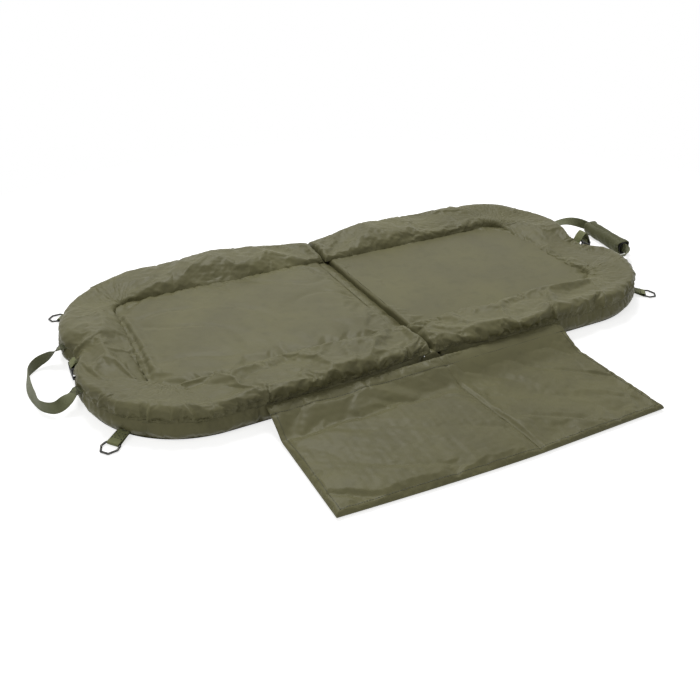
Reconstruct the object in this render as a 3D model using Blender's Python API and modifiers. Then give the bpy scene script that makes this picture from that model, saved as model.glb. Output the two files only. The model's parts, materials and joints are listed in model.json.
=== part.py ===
"""Floating unhooking mat: a padded angling mat that folds in half like a book.

Metres, +Z up. X runs along the mat, Y across it, and the fold line is the Y axis of the mat's own frame.
The whole mat hangs on one empty, which is moved so that the world origin lies under the middle of its box.
"""

import math

import bmesh
import bpy
from mathutils import Matrix, Vector

# Mat halves: plan size and heights
HALF_LENGTH = 0.650  # from the fold line to the end of the mat
HALF_WIDTH = 0.320  # from the middle line to the long edge
CORNER_RADIUS = 0.215
FOLD_GAP = 0.040  # between the two foam boards, at the fold
FOLD_PINCH = 0.020  # how far the long edges draw in at the fold
PINCH_LENGTH = 0.150  # over which they draw in
END_PINCH = 0.014  # how far the closure draws in the middle of each end
END_PINCH_FLAT = 0.018  # half the stretch that stays straight there
END_PINCH_LENGTH = 0.050  # over which the end comes out again
SEAM_HEIGHT = 0.038  # where the rim cover is sewn to the side band
BOARD_EDGE_RADIUS = 0.005

# Padded rim round each half
RIM_HEIGHT = 0.075  # top of the rim over the ground
RIM_WIDTH = 0.130
RIM_INNER_RADIUS = 0.035  # at the corners of the panel inside it
RIM_FOLD_DROP = 0.014  # how much lower the rim is at the fold
RIM_END_GAP = 0.010  # between the two rims, at the fold
RIM_FULLNESS = 0.8  # power of the sine that rounds its section: 1 is slack, less is fuller

# Cloth and fits
CLOTH = 0.0012
CLEARANCE = 0.0003  # between two pieces that touch
WEBBING_WIDTH = 0.025
WEBBING_THICKNESS = 0.0015

# Fold
FOLD_AXIS_HEIGHT = 0.0465
STRIP_DROP = 0.018  # the fold strip runs down from the left half to the right half
STRIP_TOP = 0.031

# Cover flap along the front edge
FLAP_LENGTH = 0.667  # along the mat
FLAP_REACH = 0.302  # from its hinge to its free edge
FLAP_THICKNESS = 0.012
FLAP_RAMP = 0.060  # how far the bare cloth runs down from the hinge to the padding
FLAP_OFFSET = -0.0325  # the middle of the flap from the fold line
FLAP_CREASE = 0.003  # between its two padded leaves
FLAP_FOAM_ROUNDING = 0.003

# Ring tabs and wire rings
TAB_INSET = 0.047  # from the end of the mat to where a ring tab leaves its corner, along the mat
TAB_REACH = 0.028  # from the edge to the bar of the ring
TAB_ROOT = 0.003  # the level stretch of webbing next to the edge
TAB_HEIGHT = 0.012  # the top of a ring tab at its root
RING_WIRE = 0.0042
RING_BAR = 0.029
RING_WAIST = 0.0345
RING_WAIST_OUT = 0.0118  # its widest place, from the bar
RING_TIP = 0.016
RING_DEPTH = 0.0255
RING_CORNER = 0.003

# Carrying straps
LEFT_STRAP_ENDS = (0.066, -0.108)
LEFT_STRAP_REACH = 0.079
RIGHT_STRAP_ENDS = (0.122, -0.091)
RIGHT_STRAP_REACH = 0.112

# Hand wrap on the right strap
WRAP_PADDING = 0.0052
WRAP_LINING = 0.0010
WRAP_LENGTH = 0.150
WRAP_YAW = math.radians(-7.7)
WRAP_MIDDLE = 0.018  # its middle across the mat
WRAP_EASE = 0.012  # straight webbing on each side of its ends
WRAP_SEAM_ANGLE = math.radians(100)  # where the leaf is sewn on
WRAP_LEAF_ARC = math.radians(110)
WRAP_MOUTH_ARC = math.radians(14)  # the slit that the closed leaf leaves

# Closure buckle: a socket on the left end and a plug on the right end
BUCKLE_WIDTH = 0.034
BUCKLE_THICKNESS = 0.0095
BUCKLE_BAR = 0.0032
BUCKLE_BAR_DEPTH = 0.0035  # the socket's bar is thinner than its body
BUCKLE_ROUNDING = 0.0018
SOCKET_LENGTH = 0.0265
SOCKET_MOUTH_WIDTH = 0.022
SOCKET_MOUTH_HEIGHT = 0.0055
SOCKET_DEPTH = 0.016
SOCKET_WINDOW_UP = 0.0099  # middle of the side windows, from the mouth
SOCKET_WINDOW_HEIGHT = 0.0072
SOCKET_OUT = 0.0085  # its bar from the end of the mat
SOCKET_BAR_HEIGHT = 0.0265
PLUG_OUT = 0.035
PLUG_BAR_HEIGHT = 0.0345
PLUG_LENGTH = 0.032
PLUG_THICKNESS = 0.0045
PLUG_BASE = 0.009  # from the bar to where the prongs start
PLUG_TAIL = 0.010  # of the length that lies over the base
PRONG_WIDTH = 0.0035
PRONG_STEP = 0.0060  # from the side of the base to the outside of a prong's root
PRONG_CATCH = 0.0030  # how far the catch stands inside the side of the base
PRONG_ROOT = 0.006
TONGUE_WIDTH = 0.0060
TONGUE_TAPER = 0.0008
TONGUE_SHORTER = 0.004  # than the prongs
PLUG_STRAP_RISE = 0.061  # top of the webbing that stands over the edge
SLOT_HEIGHT = 0.0046
SLOT_PLAY = 0.0010

# Fineness
SIDE_STEPS = 7
CORNER_STEPS = 14
END_STEPS = 12
RIM_STEPS = 12
STRIP_STEPS = 8
WEB_STEPS = 6
STRAP_STEPS = 4  # between two places that a strap passes
LOOP_STEPS = 8
ARC_STEP = math.radians(18)
BEND_STEPS = 3  # round each corner of a ring

# Derived sizes
HALF_GAP = FOLD_GAP / 2
PANEL_BOTTOM = SEAM_HEIGHT - CLOTH
BOARD_TOP = PANEL_BOTTOM - CLEARANCE
RIM_BASE = SEAM_HEIGHT + CLEARANCE
FLAP_HINGE_Y = -(HALF_WIDTH + CLEARANCE)
FLAP_HINGE_Z = SEAM_HEIGHT - CLOTH
STRAP_ROOT_HEIGHT = SEAM_HEIGHT - WEBBING_THICKNESS
ROOT_TURN = (CLEARANCE ** 2 + (WEBBING_THICKNESS / 2) ** 2) / (2 * CLEARANCE)
SWING_OUT = ROOT_TURN + CLEARANCE  # past ROOT_TURN the cut end of a strap turns clear of the edge
WRAP_HOLLOW = math.hypot(WEBBING_WIDTH, WEBBING_THICKNESS) / 2 + CLEARANCE
WRAP_RADIUS = WRAP_HOLLOW + WRAP_LINING + CLEARANCE + WRAP_PADDING
LEFT, RIGHT = -1, 1
SIDE_NAMES = {LEFT: "left", RIGHT: "right"}

COLOURS = {
    "mat_cloth": (0.115, 0.112, 0.066, 1),
    "base_cloth": (0.075, 0.073, 0.045, 1),
    "webbing": (0.165, 0.172, 0.085, 1),
    "strap_webbing": (0.085, 0.092, 0.048, 1),
    "foam": (0.30, 0.30, 0.28, 1),
    "hook_and_loop": (0.012, 0.012, 0.012, 1),
    "black_metal": (0.045, 0.045, 0.045, 1),
    "black_plastic": (0.015, 0.015, 0.015, 1),
}


def clear_scene():
    """Removes every object that the file starts with."""
    for item in list(bpy.data.objects):
        bpy.data.objects.remove(item, do_unlink=True)


def collection(name):
    """A new collection in the scene."""
    group = bpy.data.collections.new(name)
    bpy.context.scene.collection.children.link(group)
    return group


def material(name):
    """The named finish, as a Principled material."""
    if name in bpy.data.materials:
        return bpy.data.materials[name]
    made = bpy.data.materials.new(name)
    made.use_nodes = True
    shader = made.node_tree.nodes["Principled BSDF"]
    shader.inputs["Base Color"].default_value = COLOURS[name]
    shader.inputs["Roughness"].default_value = 0.35 if name.startswith("black") else 0.6
    shader.inputs["Metallic"].default_value = 1.0 if name == "black_metal" else 0.0
    return made


class Shop:
    """Holds the collections and the empties that the pieces are parented to."""

    def __init__(self):
        self.parts = collection("floating_unhooking_mat")
        self.cutters = collection("cutters")
        self.root = self.empty("mat_frame", (0, 0, 0))

    def empty(self, name, place, parent=None):
        """An empty at a place in the mat's frame."""
        made = bpy.data.objects.new(name, None)
        made.location = place
        self.parts.objects.link(made)
        if parent is not None:
            made.parent = parent
        return made

    def pivot(self, name, place, turn=0.0):
        """An empty on a joint's axis, turned about Z."""
        made = self.empty(name, place, self.root)
        made.rotation_euler = (0, 0, turn)
        return made

    def end_pivot(self, name, side, inset, z):
        """An empty on a strap's swing axis, and one behind it on the end of the mat, less an inset.

        Both point outwards along local X. Returns the one on the end.
        """
        turn = 0 if side == RIGHT else math.pi
        swing = self.pivot(name, (side * (HALF_LENGTH - inset + SWING_OUT), 0, z), turn)
        return self.empty(name + "_edge", (-SWING_OUT, 0, 0), swing)

    def add(self, name, data, finish, parent=None, smooth=True):
        """A new piece with its finish, under an empty."""
        piece = bpy.data.objects.new(name, data)
        self.parts.objects.link(piece)
        piece.parent = parent or self.root
        data.name = name
        data.materials.clear()
        data.materials.append(material(finish))
        if smooth and isinstance(data, bpy.types.Mesh):
            data.shade_smooth()
            data.set_sharp_from_angle(angle=math.radians(40))
        return piece

    def cutter(self, name, size, centre, parent):
        """A box that cuts, hidden from the build."""
        bm = bmesh.new()
        bmesh.ops.create_cube(bm, size=1.0)
        bmesh.ops.scale(bm, vec=size, verts=bm.verts)
        bmesh.ops.translate(bm, vec=centre, verts=bm.verts)
        tool = bpy.data.objects.new(name, mesh_from(bm, name))
        self.cutters.objects.link(tool)
        tool.parent = parent
        tool.hide_render = True
        tool.display_type = "WIRE"
        return tool


def mesh_from(bm, name):
    """Turns a bmesh into a mesh with its faces pointing out."""
    bmesh.ops.recalc_face_normals(bm, faces=bm.faces)
    data = bpy.data.meshes.new(name)
    bm.to_mesh(data)
    bm.free()
    return data


def thicken(piece, thickness, offset):
    """Gives an open sheet its thickness: offset 1 outwards, -1 inwards, 0 both ways."""
    wall = piece.modifiers.new("thickness", "SOLIDIFY")
    wall.thickness = thickness
    wall.offset = offset
    wall.use_even_offset = True
    wall.use_quality_normals = True


def round_edges(piece, width, segments=2, angle=35):
    """Rounds the sharp edges of a piece."""
    bevel = piece.modifiers.new("round_edges", "BEVEL")
    bevel.width = width
    bevel.segments = segments
    bevel.limit_method = "ANGLE"
    bevel.angle_limit = math.radians(angle)


def cut(piece, tool):
    """Cuts a tool out of a piece."""
    boolean = piece.modifiers.new(tool.name, "BOOLEAN")
    boolean.operation = "DIFFERENCE"
    boolean.object = tool


def ease(value):
    """A smooth step from 0 to 1."""
    value = min(max(value, 0.0), 1.0)
    return value * value * (3 - 2 * value)


def edge_y(x, inset):
    """Half the width of the mat at a distance from the fold, less an inset."""
    return HALF_WIDTH - inset - FOLD_PINCH * (1 - ease(abs(x) / PINCH_LENGTH))


def end_pinch(y):
    """How far the end of the mat is drawn in."""
    return END_PINCH * (1 - ease((abs(y) - END_PINCH_FLAT) / END_PINCH_LENGTH))


def u_path(start, end_x, side_y, radius, pinch=lambda y: 0):
    """Plan points round the outer three sides of a half: back edge, corner, end, corner and front edge."""
    side = []
    run = end_x - radius - start
    for i in range(SIDE_STEPS):
        x = start + run * i / SIDE_STEPS
        side.append((x, side_y(x)))
    centre = (end_x - radius, side_y(end_x) - radius)
    for i in range(CORNER_STEPS + 1):
        turn = math.pi / 2 * (1 - i / CORNER_STEPS)
        side.append((centre[0] + radius * math.cos(turn), centre[1] + radius * math.sin(turn)))
    levels = [centre[1] * (1 - 2 * i / END_STEPS) for i in range(1, END_STEPS)]
    end = [(end_x - pinch(y), y) for y in levels]
    back = list(side)
    front = [(x, -y) for x, y in reversed(side)]
    return back + end + front


def outline(side, inset):
    """The closed plan outline of one half, drawn in from its edge by an inset."""
    path = u_path(
        HALF_GAP + inset, HALF_LENGTH - inset, lambda x: edge_y(x, inset), CORNER_RADIUS - inset,
        end_pinch,
    )
    return [Vector((side * x, y, 0)) for x, y in path]


def flat_piece(shop, name, points, bottom, top, finish, parent):
    """A flat plate of the given outline, as a filled curve."""
    shape = bpy.data.curves.new(name, "CURVE")
    shape.dimensions = "2D"
    shape.fill_mode = "BOTH"
    shape.extrude = (top - bottom) / 2
    spline = shape.splines.new("POLY")
    spline.points.add(len(points) - 1)
    for spot, point in zip(spline.points, points):
        spot.co = (point.x, point.y, 0, 1)
    spline.use_cyclic_u = True
    piece = shop.add(name, shape, finish, parent)
    piece.location.z = (top + bottom) / 2
    return piece


def as_mesh(shop, piece):
    """Turns a curve piece into a mesh piece with its caps welded."""
    bpy.context.view_layer.update()
    ready = piece.evaluated_get(bpy.context.evaluated_depsgraph_get())
    data = bpy.data.meshes.new_from_object(ready)
    bm = bmesh.new()
    bm.from_mesh(data)
    bmesh.ops.remove_doubles(bm, verts=bm.verts, dist=0.00001)
    name, parent, place = piece.name, piece.parent, piece.location.copy()
    finish = piece.data.materials[0].name
    bpy.data.objects.remove(piece, do_unlink=True)
    bpy.data.meshes.remove(data)
    made = shop.add(name, mesh_from(bm, name), finish, parent)
    made.location = place
    return made


def base_sheet(shop, side, parent):
    """The coated sheet that the half lies on."""
    name = SIDE_NAMES[side] + "_base_sheet"
    return flat_piece(shop, name, outline(side, 0), 0, CLOTH, "base_cloth", parent)


def foam_board(shop, side, parent):
    """The closed-cell foam board inside the lower part of the half."""
    inset = CLOTH + CLEARANCE
    name = SIDE_NAMES[side] + "_foam_board"
    board = flat_piece(
        shop, name, outline(side, inset), CLOTH + CLEARANCE, BOARD_TOP, "foam", parent
    )
    board = as_mesh(shop, board)
    round_edges(board, BOARD_EDGE_RADIUS, angle=60)
    return board


def top_panel(shop, side, parent):
    """The cloth that the fish lies on, over the board and under the rim."""
    inset = CLOTH + CLEARANCE
    name = SIDE_NAMES[side] + "_top_panel"
    return flat_piece(
        shop, name, outline(side, inset), PANEL_BOTTOM, SEAM_HEIGHT, "mat_cloth", parent
    )


def side_band(shop, side, parent):
    """The upright band of cloth round the board, from the base sheet to the seam."""
    path = outline(side, 0)
    low, high = CLOTH + CLEARANCE, SEAM_HEIGHT
    bm = bmesh.new()
    lower = [bm.verts.new(p + Vector((0, 0, low))) for p in path]
    edges = [bm.edges.new((a, b)) for a, b in zip(lower, lower[1:] + lower[:1])]
    raised = bmesh.ops.extrude_edge_only(bm, edges=edges)
    upper = [v for v in raised["geom"] if isinstance(v, bmesh.types.BMVert)]
    bmesh.ops.translate(bm, vec=(0, 0, high - low), verts=upper)
    band = shop.add(SIDE_NAMES[side] + "_side_band", mesh_from(bm, "band"), "mat_cloth", parent)
    thicken(band, CLOTH, -1)
    return band


def rim_height(x):
    """Height of the rim's crest over its base, lower at the fold."""
    return RIM_HEIGHT - RIM_BASE - RIM_FOLD_DROP * (1 - ease(abs(x) / PINCH_LENGTH))


def drawn_in(points, distance):
    """A convex outline of (across, up) points, in clockwise order, with every side moved in."""
    line = []
    count = len(points)
    for i, point in enumerate(points):
        before = (point - points[i - 1]).normalized()
        after = (points[(i + 1) % count] - point).normalized()
        normal = Vector((before.y + after.y, -before.x - after.x)).normalized()
        line.append(point + normal * distance / max(normal.dot(Vector((before.y, -before.x))), 0.3))
    return line


def rim_section(outer, inner, height, inset):
    """Points across the rim, from its outer foot over its crest to its inner foot."""
    span = inner - outer
    width = span.length
    along = span / width
    profile = []
    for i in range(RIM_STEPS + 1):
        turn = math.pi * i / RIM_STEPS
        across = (1 - math.cos(turn)) / 2 * width
        profile.append(Vector((across, math.sin(turn) ** RIM_FULLNESS * height)))
    if inset:
        profile = drawn_in(profile, inset)
    return [outer + along * spot.x + Vector((0, 0, spot.y)) for spot in profile]


def rim_rings(side, inset):
    """One section for each step round the half."""
    start = RIM_END_GAP / 2 + inset
    outer = u_path(start, HALF_LENGTH, lambda x: edge_y(x, 0), CORNER_RADIUS, end_pinch)
    inner = u_path(
        start, HALF_LENGTH - RIM_WIDTH, lambda x: edge_y(PINCH_LENGTH, RIM_WIDTH), RIM_INNER_RADIUS
    )
    rings = []
    for (ox, oy), (ix, iy) in zip(outer, inner):
        height = rim_height((ox + ix) / 2)
        near = Vector((side * ox, oy, RIM_BASE))
        far = Vector((side * ix, iy, RIM_BASE))
        rings.append(rim_section(near, far, height, inset))
    return rings


def loft(bm, rings, closed):
    """Faces between rings of points that follow one another, with an end face on each end if closed."""
    rows = [[bm.verts.new(p) for p in ring] for ring in rings]
    for row, after in zip(rows, rows[1:]):
        for i in range(len(row)):
            j = (i + 1) % len(row)
            bm.faces.new((row[i], row[j], after[j], after[i]))
    if closed:
        bm.faces.new(rows[0])
        bm.faces.new(list(reversed(rows[-1])))


def rim_foam(shop, side, parent):
    """The soft bolster that stops the fish from sliding off."""
    bm = bmesh.new()
    loft(bm, rim_rings(side, CLOTH + CLEARANCE), True)
    return shop.add(SIDE_NAMES[side] + "_rim_foam", mesh_from(bm, "rim"), "foam", parent)


def rim_cover(shop, side, parent):
    """The cloth sleeve round the bolster, open at the fold."""
    bm = bmesh.new()
    loft(bm, rim_rings(side, 0), False)
    cover = shop.add(SIDE_NAMES[side] + "_rim_cover", mesh_from(bm, "cover"), "mat_cloth", parent)
    thicken(cover, CLOTH, -1)
    return cover


def fold_strip(shop, parent):
    """The strip of cloth that joins the two halves and bends when the mat folds."""
    half = HALF_GAP - CLEARANCE
    reach = edge_y(HALF_GAP, 0)
    bm = bmesh.new()
    row = []
    for i in range(STRIP_STEPS + 1):
        x = -half + 2 * half * i / STRIP_STEPS
        z = STRIP_TOP - STRIP_DROP * ease(i / STRIP_STEPS)
        row.append(bm.verts.new((x, -reach, z)))
    edges = [bm.edges.new(pair) for pair in zip(row, row[1:])]
    drawn = bmesh.ops.extrude_edge_only(bm, edges=edges)
    far = [v for v in drawn["geom"] if isinstance(v, bmesh.types.BMVert)]
    bmesh.ops.translate(bm, vec=(0, 2 * reach, 0), verts=far)
    strip = shop.add("fold_strip", mesh_from(bm, "strip"), "mat_cloth", parent)
    thicken(strip, CLOTH, 0)
    return strip


def flap_span(side):
    """The flap leaf's inner and outer ends along the mat, the inner one first."""
    inner = side * FLAP_CREASE / 2
    outer = FLAP_OFFSET + side * FLAP_LENGTH / 2
    return inner, outer


def box_between(bm, low, high):
    """A box between two corners, returned as its new vertices."""
    made = bmesh.ops.create_cube(bm, size=1.0)["verts"]
    size = [b - a for a, b in zip(low, high)]
    middle = [(a + b) / 2 for a, b in zip(low, high)]
    bmesh.ops.scale(bm, vec=size, verts=made)
    bmesh.ops.translate(bm, vec=middle, verts=made)
    return made


def flap_foam(shop, side, pivot):
    """The thin foam sheet inside one leaf of the flap."""
    inner, outer = flap_span(side)
    wall = CLOTH + CLEARANCE
    low_x, high_x = sorted((inner, outer))
    far = -FLAP_REACH + wall
    bm = bmesh.new()
    box_between(
        bm,
        (low_x + wall, far, wall - FLAP_HINGE_Z),
        (high_x - wall, -FLAP_RAMP - wall, FLAP_THICKNESS - wall - FLAP_HINGE_Z),
    )
    name = SIDE_NAMES[side] + "_flap_foam"
    foam = shop.add(name, mesh_from(bm, name), "foam", pivot)
    round_edges(foam, FLAP_FOAM_ROUNDING)
    return foam


def flap_cover(shop, side, pivot):
    """The cloth pocket round one padded leaf, open towards the hinge."""
    inner, outer = flap_span(side)
    low_x, high_x = sorted((inner, outer))
    ground = -FLAP_HINGE_Z
    bm = bmesh.new()
    box_between(
        bm, (low_x, -FLAP_REACH, ground), (high_x, -FLAP_RAMP, ground + FLAP_THICKNESS)
    )
    mouth = max(bm.faces, key=lambda f: f.calc_center_median().y)
    bmesh.ops.delete(bm, geom=[mouth], context="FACES_ONLY")
    name = SIDE_NAMES[side] + "_flap_cover"
    cover = shop.add(name, mesh_from(bm, name), "mat_cloth", pivot)
    thicken(cover, CLOTH, -1)
    return cover


def flap_web(shop, side, pivot):
    """The bare cloth that runs from the seam down to one padded leaf and bends when the flap folds."""
    inner, outer = flap_span(side)
    start = -CLOTH / 2
    stop = FLAP_THICKNESS - FLAP_HINGE_Z - CLOTH / 2
    bm = bmesh.new()
    row = []
    for i in range(WEB_STEPS + 1):
        share = i / WEB_STEPS
        down = start + (stop - start) * ease(share)
        row.append(bm.verts.new((inner, -(FLAP_RAMP - CLEARANCE) * share, down)))
    edges = [bm.edges.new(pair) for pair in zip(row, row[1:])]
    drawn = bmesh.ops.extrude_edge_only(bm, edges=edges)
    far = [v for v in drawn["geom"] if isinstance(v, bmesh.types.BMVert)]
    bmesh.ops.translate(bm, vec=(outer - inner, 0, 0), verts=far)
    name = SIDE_NAMES[side] + "_flap_web"
    web = shop.add(name, mesh_from(bm, name), "mat_cloth", pivot)
    thicken(web, CLOTH, 0)
    return web


def smooth_route(points, per_span):
    """Points along a smooth curve through the given ones, each a tuple of numbers of any length."""
    spots = [Vector(point).to_tuple() for point in points]
    gaps = [math.dist(p[:3], q[:3]) for p, q in zip(spots, spots[1:])]
    slopes = [[(r - q) / gap for q, r in zip(a, b)] for a, b, gap in zip(spots, spots[1:], gaps)]
    tangents = [slopes[0]]
    for before, after, near, far in zip(slopes, slopes[1:], gaps, gaps[1:]):
        tangents.append([(p * far + q * near) / (near + far) for p, q in zip(before, after)])
    tangents.append(slopes[-1])
    route = []
    for i, gap in enumerate(gaps):
        for k in range(per_span):
            t = k / per_span
            rise = t * t * (3 - 2 * t)
            leave = t * (1 - t) ** 2 * gap
            arrive = -t * t * (1 - t) * gap
            route.append(
                tuple(
                    a + (b - a) * rise + m * leave + n * arrive
                    for a, b, m, n in zip(spots[i], spots[i + 1], tangents[i], tangents[i + 1])
                )
            )
    route.append(spots[-1])
    return route


def ribbon(shop, name, places, widths, finish, parent):
    """Webbing along a line of places, with the vector of half its width at each."""
    bm = bmesh.new()
    pairs = [(bm.verts.new(p - w), bm.verts.new(p + w)) for p, w in zip(places, widths)]
    for (a, b), (c, d) in zip(pairs, pairs[1:]):
        bm.faces.new((a, b, d, c))
    piece = shop.add(name, mesh_from(bm, name), finish, parent)
    thicken(piece, WEBBING_THICKNESS, 0)
    return piece


def rolled_ribbon(shop, name, route, finish, parent):
    """Webbing along a route of (x, y, z, roll): roll 0 lies flat and a quarter turn stands on edge.

    Its two ends are cut square to the end of the mat.
    """
    places = [Vector(spot[:3]) for spot in route]
    widths = []
    for i, spot in enumerate(route):
        ahead = places[min(i + 1, len(places) - 1)] - places[max(i - 1, 0)]
        level = Vector((0, 0, 1)).cross(ahead).normalized()
        roll = spot[3]
        width = level * math.cos(roll) + Vector((0, 0, 1)) * math.sin(roll)
        widths.append(width * WEBBING_WIDTH / 2)
    for end in (0, 1, -2, -1):
        widths[end] = Vector((0, math.copysign(WEBBING_WIDTH / 2, widths[end].y), 0))
    return ribbon(shop, name, places, widths, finish, parent)


def sewn_route(marks, ends):
    """A smooth strap route with a level stretch at each end, up to the edge of the mat."""
    back, front = ends
    route = smooth_route(marks, STRAP_STEPS)
    return [(CLEARANCE, back, 0, 0)] + route + [(CLEARANCE, front, 0, 0)]


def strap_pivot(shop, side):
    """The empty that a carrying strap is built from, behind the axis that it swings about."""
    return shop.end_pivot(SIDE_NAMES[side] + "_strap_pivot", side, 0, STRAP_ROOT_HEIGHT)


def left_strap(shop):
    """The plain carrying strap on the left end, lying on its edge on the ground.

    Its pivot points to the left, so its own Y runs towards the front of the mat.
    """
    back, front = (-y for y in LEFT_STRAP_ENDS)
    reach = LEFT_STRAP_REACH
    quarter = math.pi / 2
    lying = WEBBING_WIDTH / 2 - STRAP_ROOT_HEIGHT + 2 * CLEARANCE
    marks = [
        (TAB_ROOT, back, 0.0, 0.0),
        (0.15 * reach, back - 0.002, 0.25 * lying, 0.20 * quarter),
        (0.34 * reach, back - 0.004, 0.65 * lying, 0.72 * quarter),
        (0.62 * reach, back - 0.001, 0.95 * lying, quarter),
        (0.92 * reach, back + 0.028, lying, 0.90 * quarter),
        (reach, back + 0.070, lying, 0.72 * quarter),
        (0.97 * reach, front - 0.050, lying, 0.78 * quarter),
        (0.85 * reach, front - 0.010, lying, quarter),
        (0.58 * reach, front + 0.012, 0.8 * lying, 0.85 * quarter),
        (0.30 * reach, front + 0.009, 0.45 * lying, 0.25 * quarter),
        (0.15 * reach, front + 0.004, 0.2 * lying, -0.10 * quarter),
        (TAB_ROOT, front, 0.0, 0.0),
    ]
    pivot = strap_pivot(shop, LEFT)
    route = sewn_route(marks, (back, front))
    return rolled_ribbon(shop, "left_handle_strap", route, "strap_webbing", pivot)


def wrap_axis_points():
    """Where the hand wrap's middle line starts and ends, from the right strap's hinge."""
    centre = Vector((RIGHT_STRAP_REACH, WRAP_MIDDLE, WRAP_RADIUS - STRAP_ROOT_HEIGHT))
    half = Vector((-math.sin(WRAP_YAW), math.cos(WRAP_YAW), 0)) * WRAP_LENGTH / 2
    return centre + half, centre - half


def right_strap(shop, pivot):
    """The carrying strap on the right end, which runs straight through the hand wrap."""
    back, front = RIGHT_STRAP_ENDS
    quarter = math.pi / 2
    first, last = wrap_axis_points()
    along = (first - last).normalized()
    straight = [first + along * WRAP_EASE, first, first - along * WRAP_EASE]
    straight += [last + along * WRAP_EASE, last, last - along * WRAP_EASE]
    marks = [
        (TAB_ROOT, back, 0.0, 0.0),
        (0.12 * RIGHT_STRAP_REACH, back + 0.001, -0.003, 0.0),
        (0.38 * RIGHT_STRAP_REACH, back + 0.004, -0.001, 0.12 * quarter),
        (0.80 * RIGHT_STRAP_REACH, back + 0.001, -0.006, 0.55 * quarter),
        *((spot.x, spot.y, spot.z, quarter) for spot in straight),
        (0.42 * RIGHT_STRAP_REACH, front - 0.012, -0.009, 0.25 * quarter),
        (TAB_ROOT, front, 0.0, 0.0),
    ]
    route = sewn_route(marks, RIGHT_STRAP_ENDS)
    return rolled_ribbon(shop, "right_handle_strap", route, "strap_webbing", pivot)


def arc_shell(shop, name, radius, thickness, start, sweep, length, finish, parent, centre):
    """Part of a tube along local Y, of the given outer radius, with square ends."""
    steps = math.ceil(sweep / ARC_STEP)
    turns = [start + sweep * i / steps for i in range(steps + 1)]
    rim = [(radius, turn) for turn in turns]
    rim += [(radius - thickness, turn) for turn in reversed(turns)]
    bm = bmesh.new()
    ends = []
    for along in (-length / 2, length / 2):
        ring = [
            bm.verts.new(centre + Vector((far * math.cos(turn), along, far * math.sin(turn))))
            for far, turn in rim
        ]
        ends.append([bm.edges.new((p, q)) for p, q in zip(ring, ring[1:] + ring[:1])])
        bm.faces.new(ring)
    bmesh.ops.bridge_loops(bm, edges=ends[0] + ends[1])
    return shop.add(name, mesh_from(bm, name), finish, parent)


def hand_wrap(shop, strap_place):
    """The padded wrap round the right strap: a cover, its black lining and a leaf that opens."""
    first, last = wrap_axis_points()
    middle = shop.empty("wrap_middle", (first + last) / 2, strap_place)
    middle.rotation_euler = (0, 0, WRAP_YAW)
    leaf_end = WRAP_SEAM_ANGLE - WRAP_LEAF_ARC
    gap = CLEARANCE / WRAP_RADIUS
    start = WRAP_SEAM_ANGLE + gap
    sweep = 2 * math.pi - WRAP_LEAF_ARC - WRAP_MOUTH_ARC - gap
    origin = Vector((0, 0, 0))
    arc_shell(
        shop, "wrap_cover", WRAP_RADIUS, WRAP_PADDING, start, sweep, WRAP_LENGTH,
        "strap_webbing", middle, origin,
    )
    inside = WRAP_RADIUS - WRAP_PADDING - CLEARANCE
    arc_shell(
        shop, "wrap_lining", inside, WRAP_LINING, start, sweep, WRAP_LENGTH,
        "hook_and_loop", middle, origin,
    )
    seam = Vector((math.cos(WRAP_SEAM_ANGLE), 0, math.sin(WRAP_SEAM_ANGLE))) * WRAP_RADIUS
    hinge = shop.empty("wrap_leaf_pivot", seam, middle)
    arc_shell(
        shop, "wrap_leaf", WRAP_RADIUS, WRAP_PADDING, leaf_end, WRAP_LEAF_ARC, WRAP_LENGTH,
        "strap_webbing", hinge, -seam,
    )


def tangent_loop(root_high, root_low, bar, radius, from_edge=True):
    """A webbing line in a plane of (out, up): from one root round a bar and back to the other root.

    Where it comes from the edge of the mat, both its ends lie level against that edge.
    """
    def touch(root, way):
        out, up = root[0] - bar[0], root[1] - bar[1]
        return math.atan2(up, out) + way * math.acos(radius / math.hypot(out, up))

    start = touch(root_high, -1)
    stop = touch(root_low, 1) - 2 * math.pi
    line = [(CLEARANCE, root_high[1])] if from_edge else []
    line.append(root_high)
    for i in range(LOOP_STEPS + 1):
        turn = start + (stop - start) * i / LOOP_STEPS
        line.append((bar[0] + radius * math.cos(turn), bar[1] + radius * math.sin(turn)))
    line.append(root_low)
    if from_edge:
        line.append((CLEARANCE, root_low[1]))
    return line


def loop_ribbon(shop, name, line, finish, parent):
    """Webbing that follows a line of (out, up) along local X and Z, with its width along local Y."""
    places = [Vector((out, 0, up)) for out, up in line]
    widths = [Vector((0, WEBBING_WIDTH / 2, 0))] * len(places)
    return ribbon(shop, name, places, widths, finish, parent)


def corner_place(side, back):
    """Where a ring tab leaves the edge: its plan place and the way it points."""
    centre = Vector((HALF_LENGTH - CORNER_RADIUS, HALF_WIDTH - CORNER_RADIUS, 0))
    turn = math.acos(1 - TAB_INSET / CORNER_RADIUS)
    spot = centre + Vector((math.cos(turn), math.sin(turn), 0)) * CORNER_RADIUS
    heading = math.atan2(back * math.sin(turn), side * math.cos(turn))
    return Vector((side * spot.x, back * spot.y, 0)), heading


def rounded_corners(points, radius):
    """A closed outline of (x, y) with its corners rounded."""
    line = []
    count = len(points)
    for i, point in enumerate(points):
        here = Vector(point)
        before = (Vector(points[i - 1]) - here).normalized()
        after = (Vector(points[(i + 1) % count]) - here).normalized()
        half = before.angle(after) / 2
        trim = radius / math.tan(half)
        middle = here + (before + after).normalized() * radius / math.sin(half)
        start = here + before * trim - middle
        stop = here + after * trim - middle
        first = math.atan2(start.y, start.x)
        turn = math.remainder(math.atan2(stop.y, stop.x) - first, 2 * math.pi)
        for k in range(BEND_STEPS + 1):
            now = first + turn * k / BEND_STEPS
            line.append(middle + Vector((math.cos(now), math.sin(now))) * radius)
    return line


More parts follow.
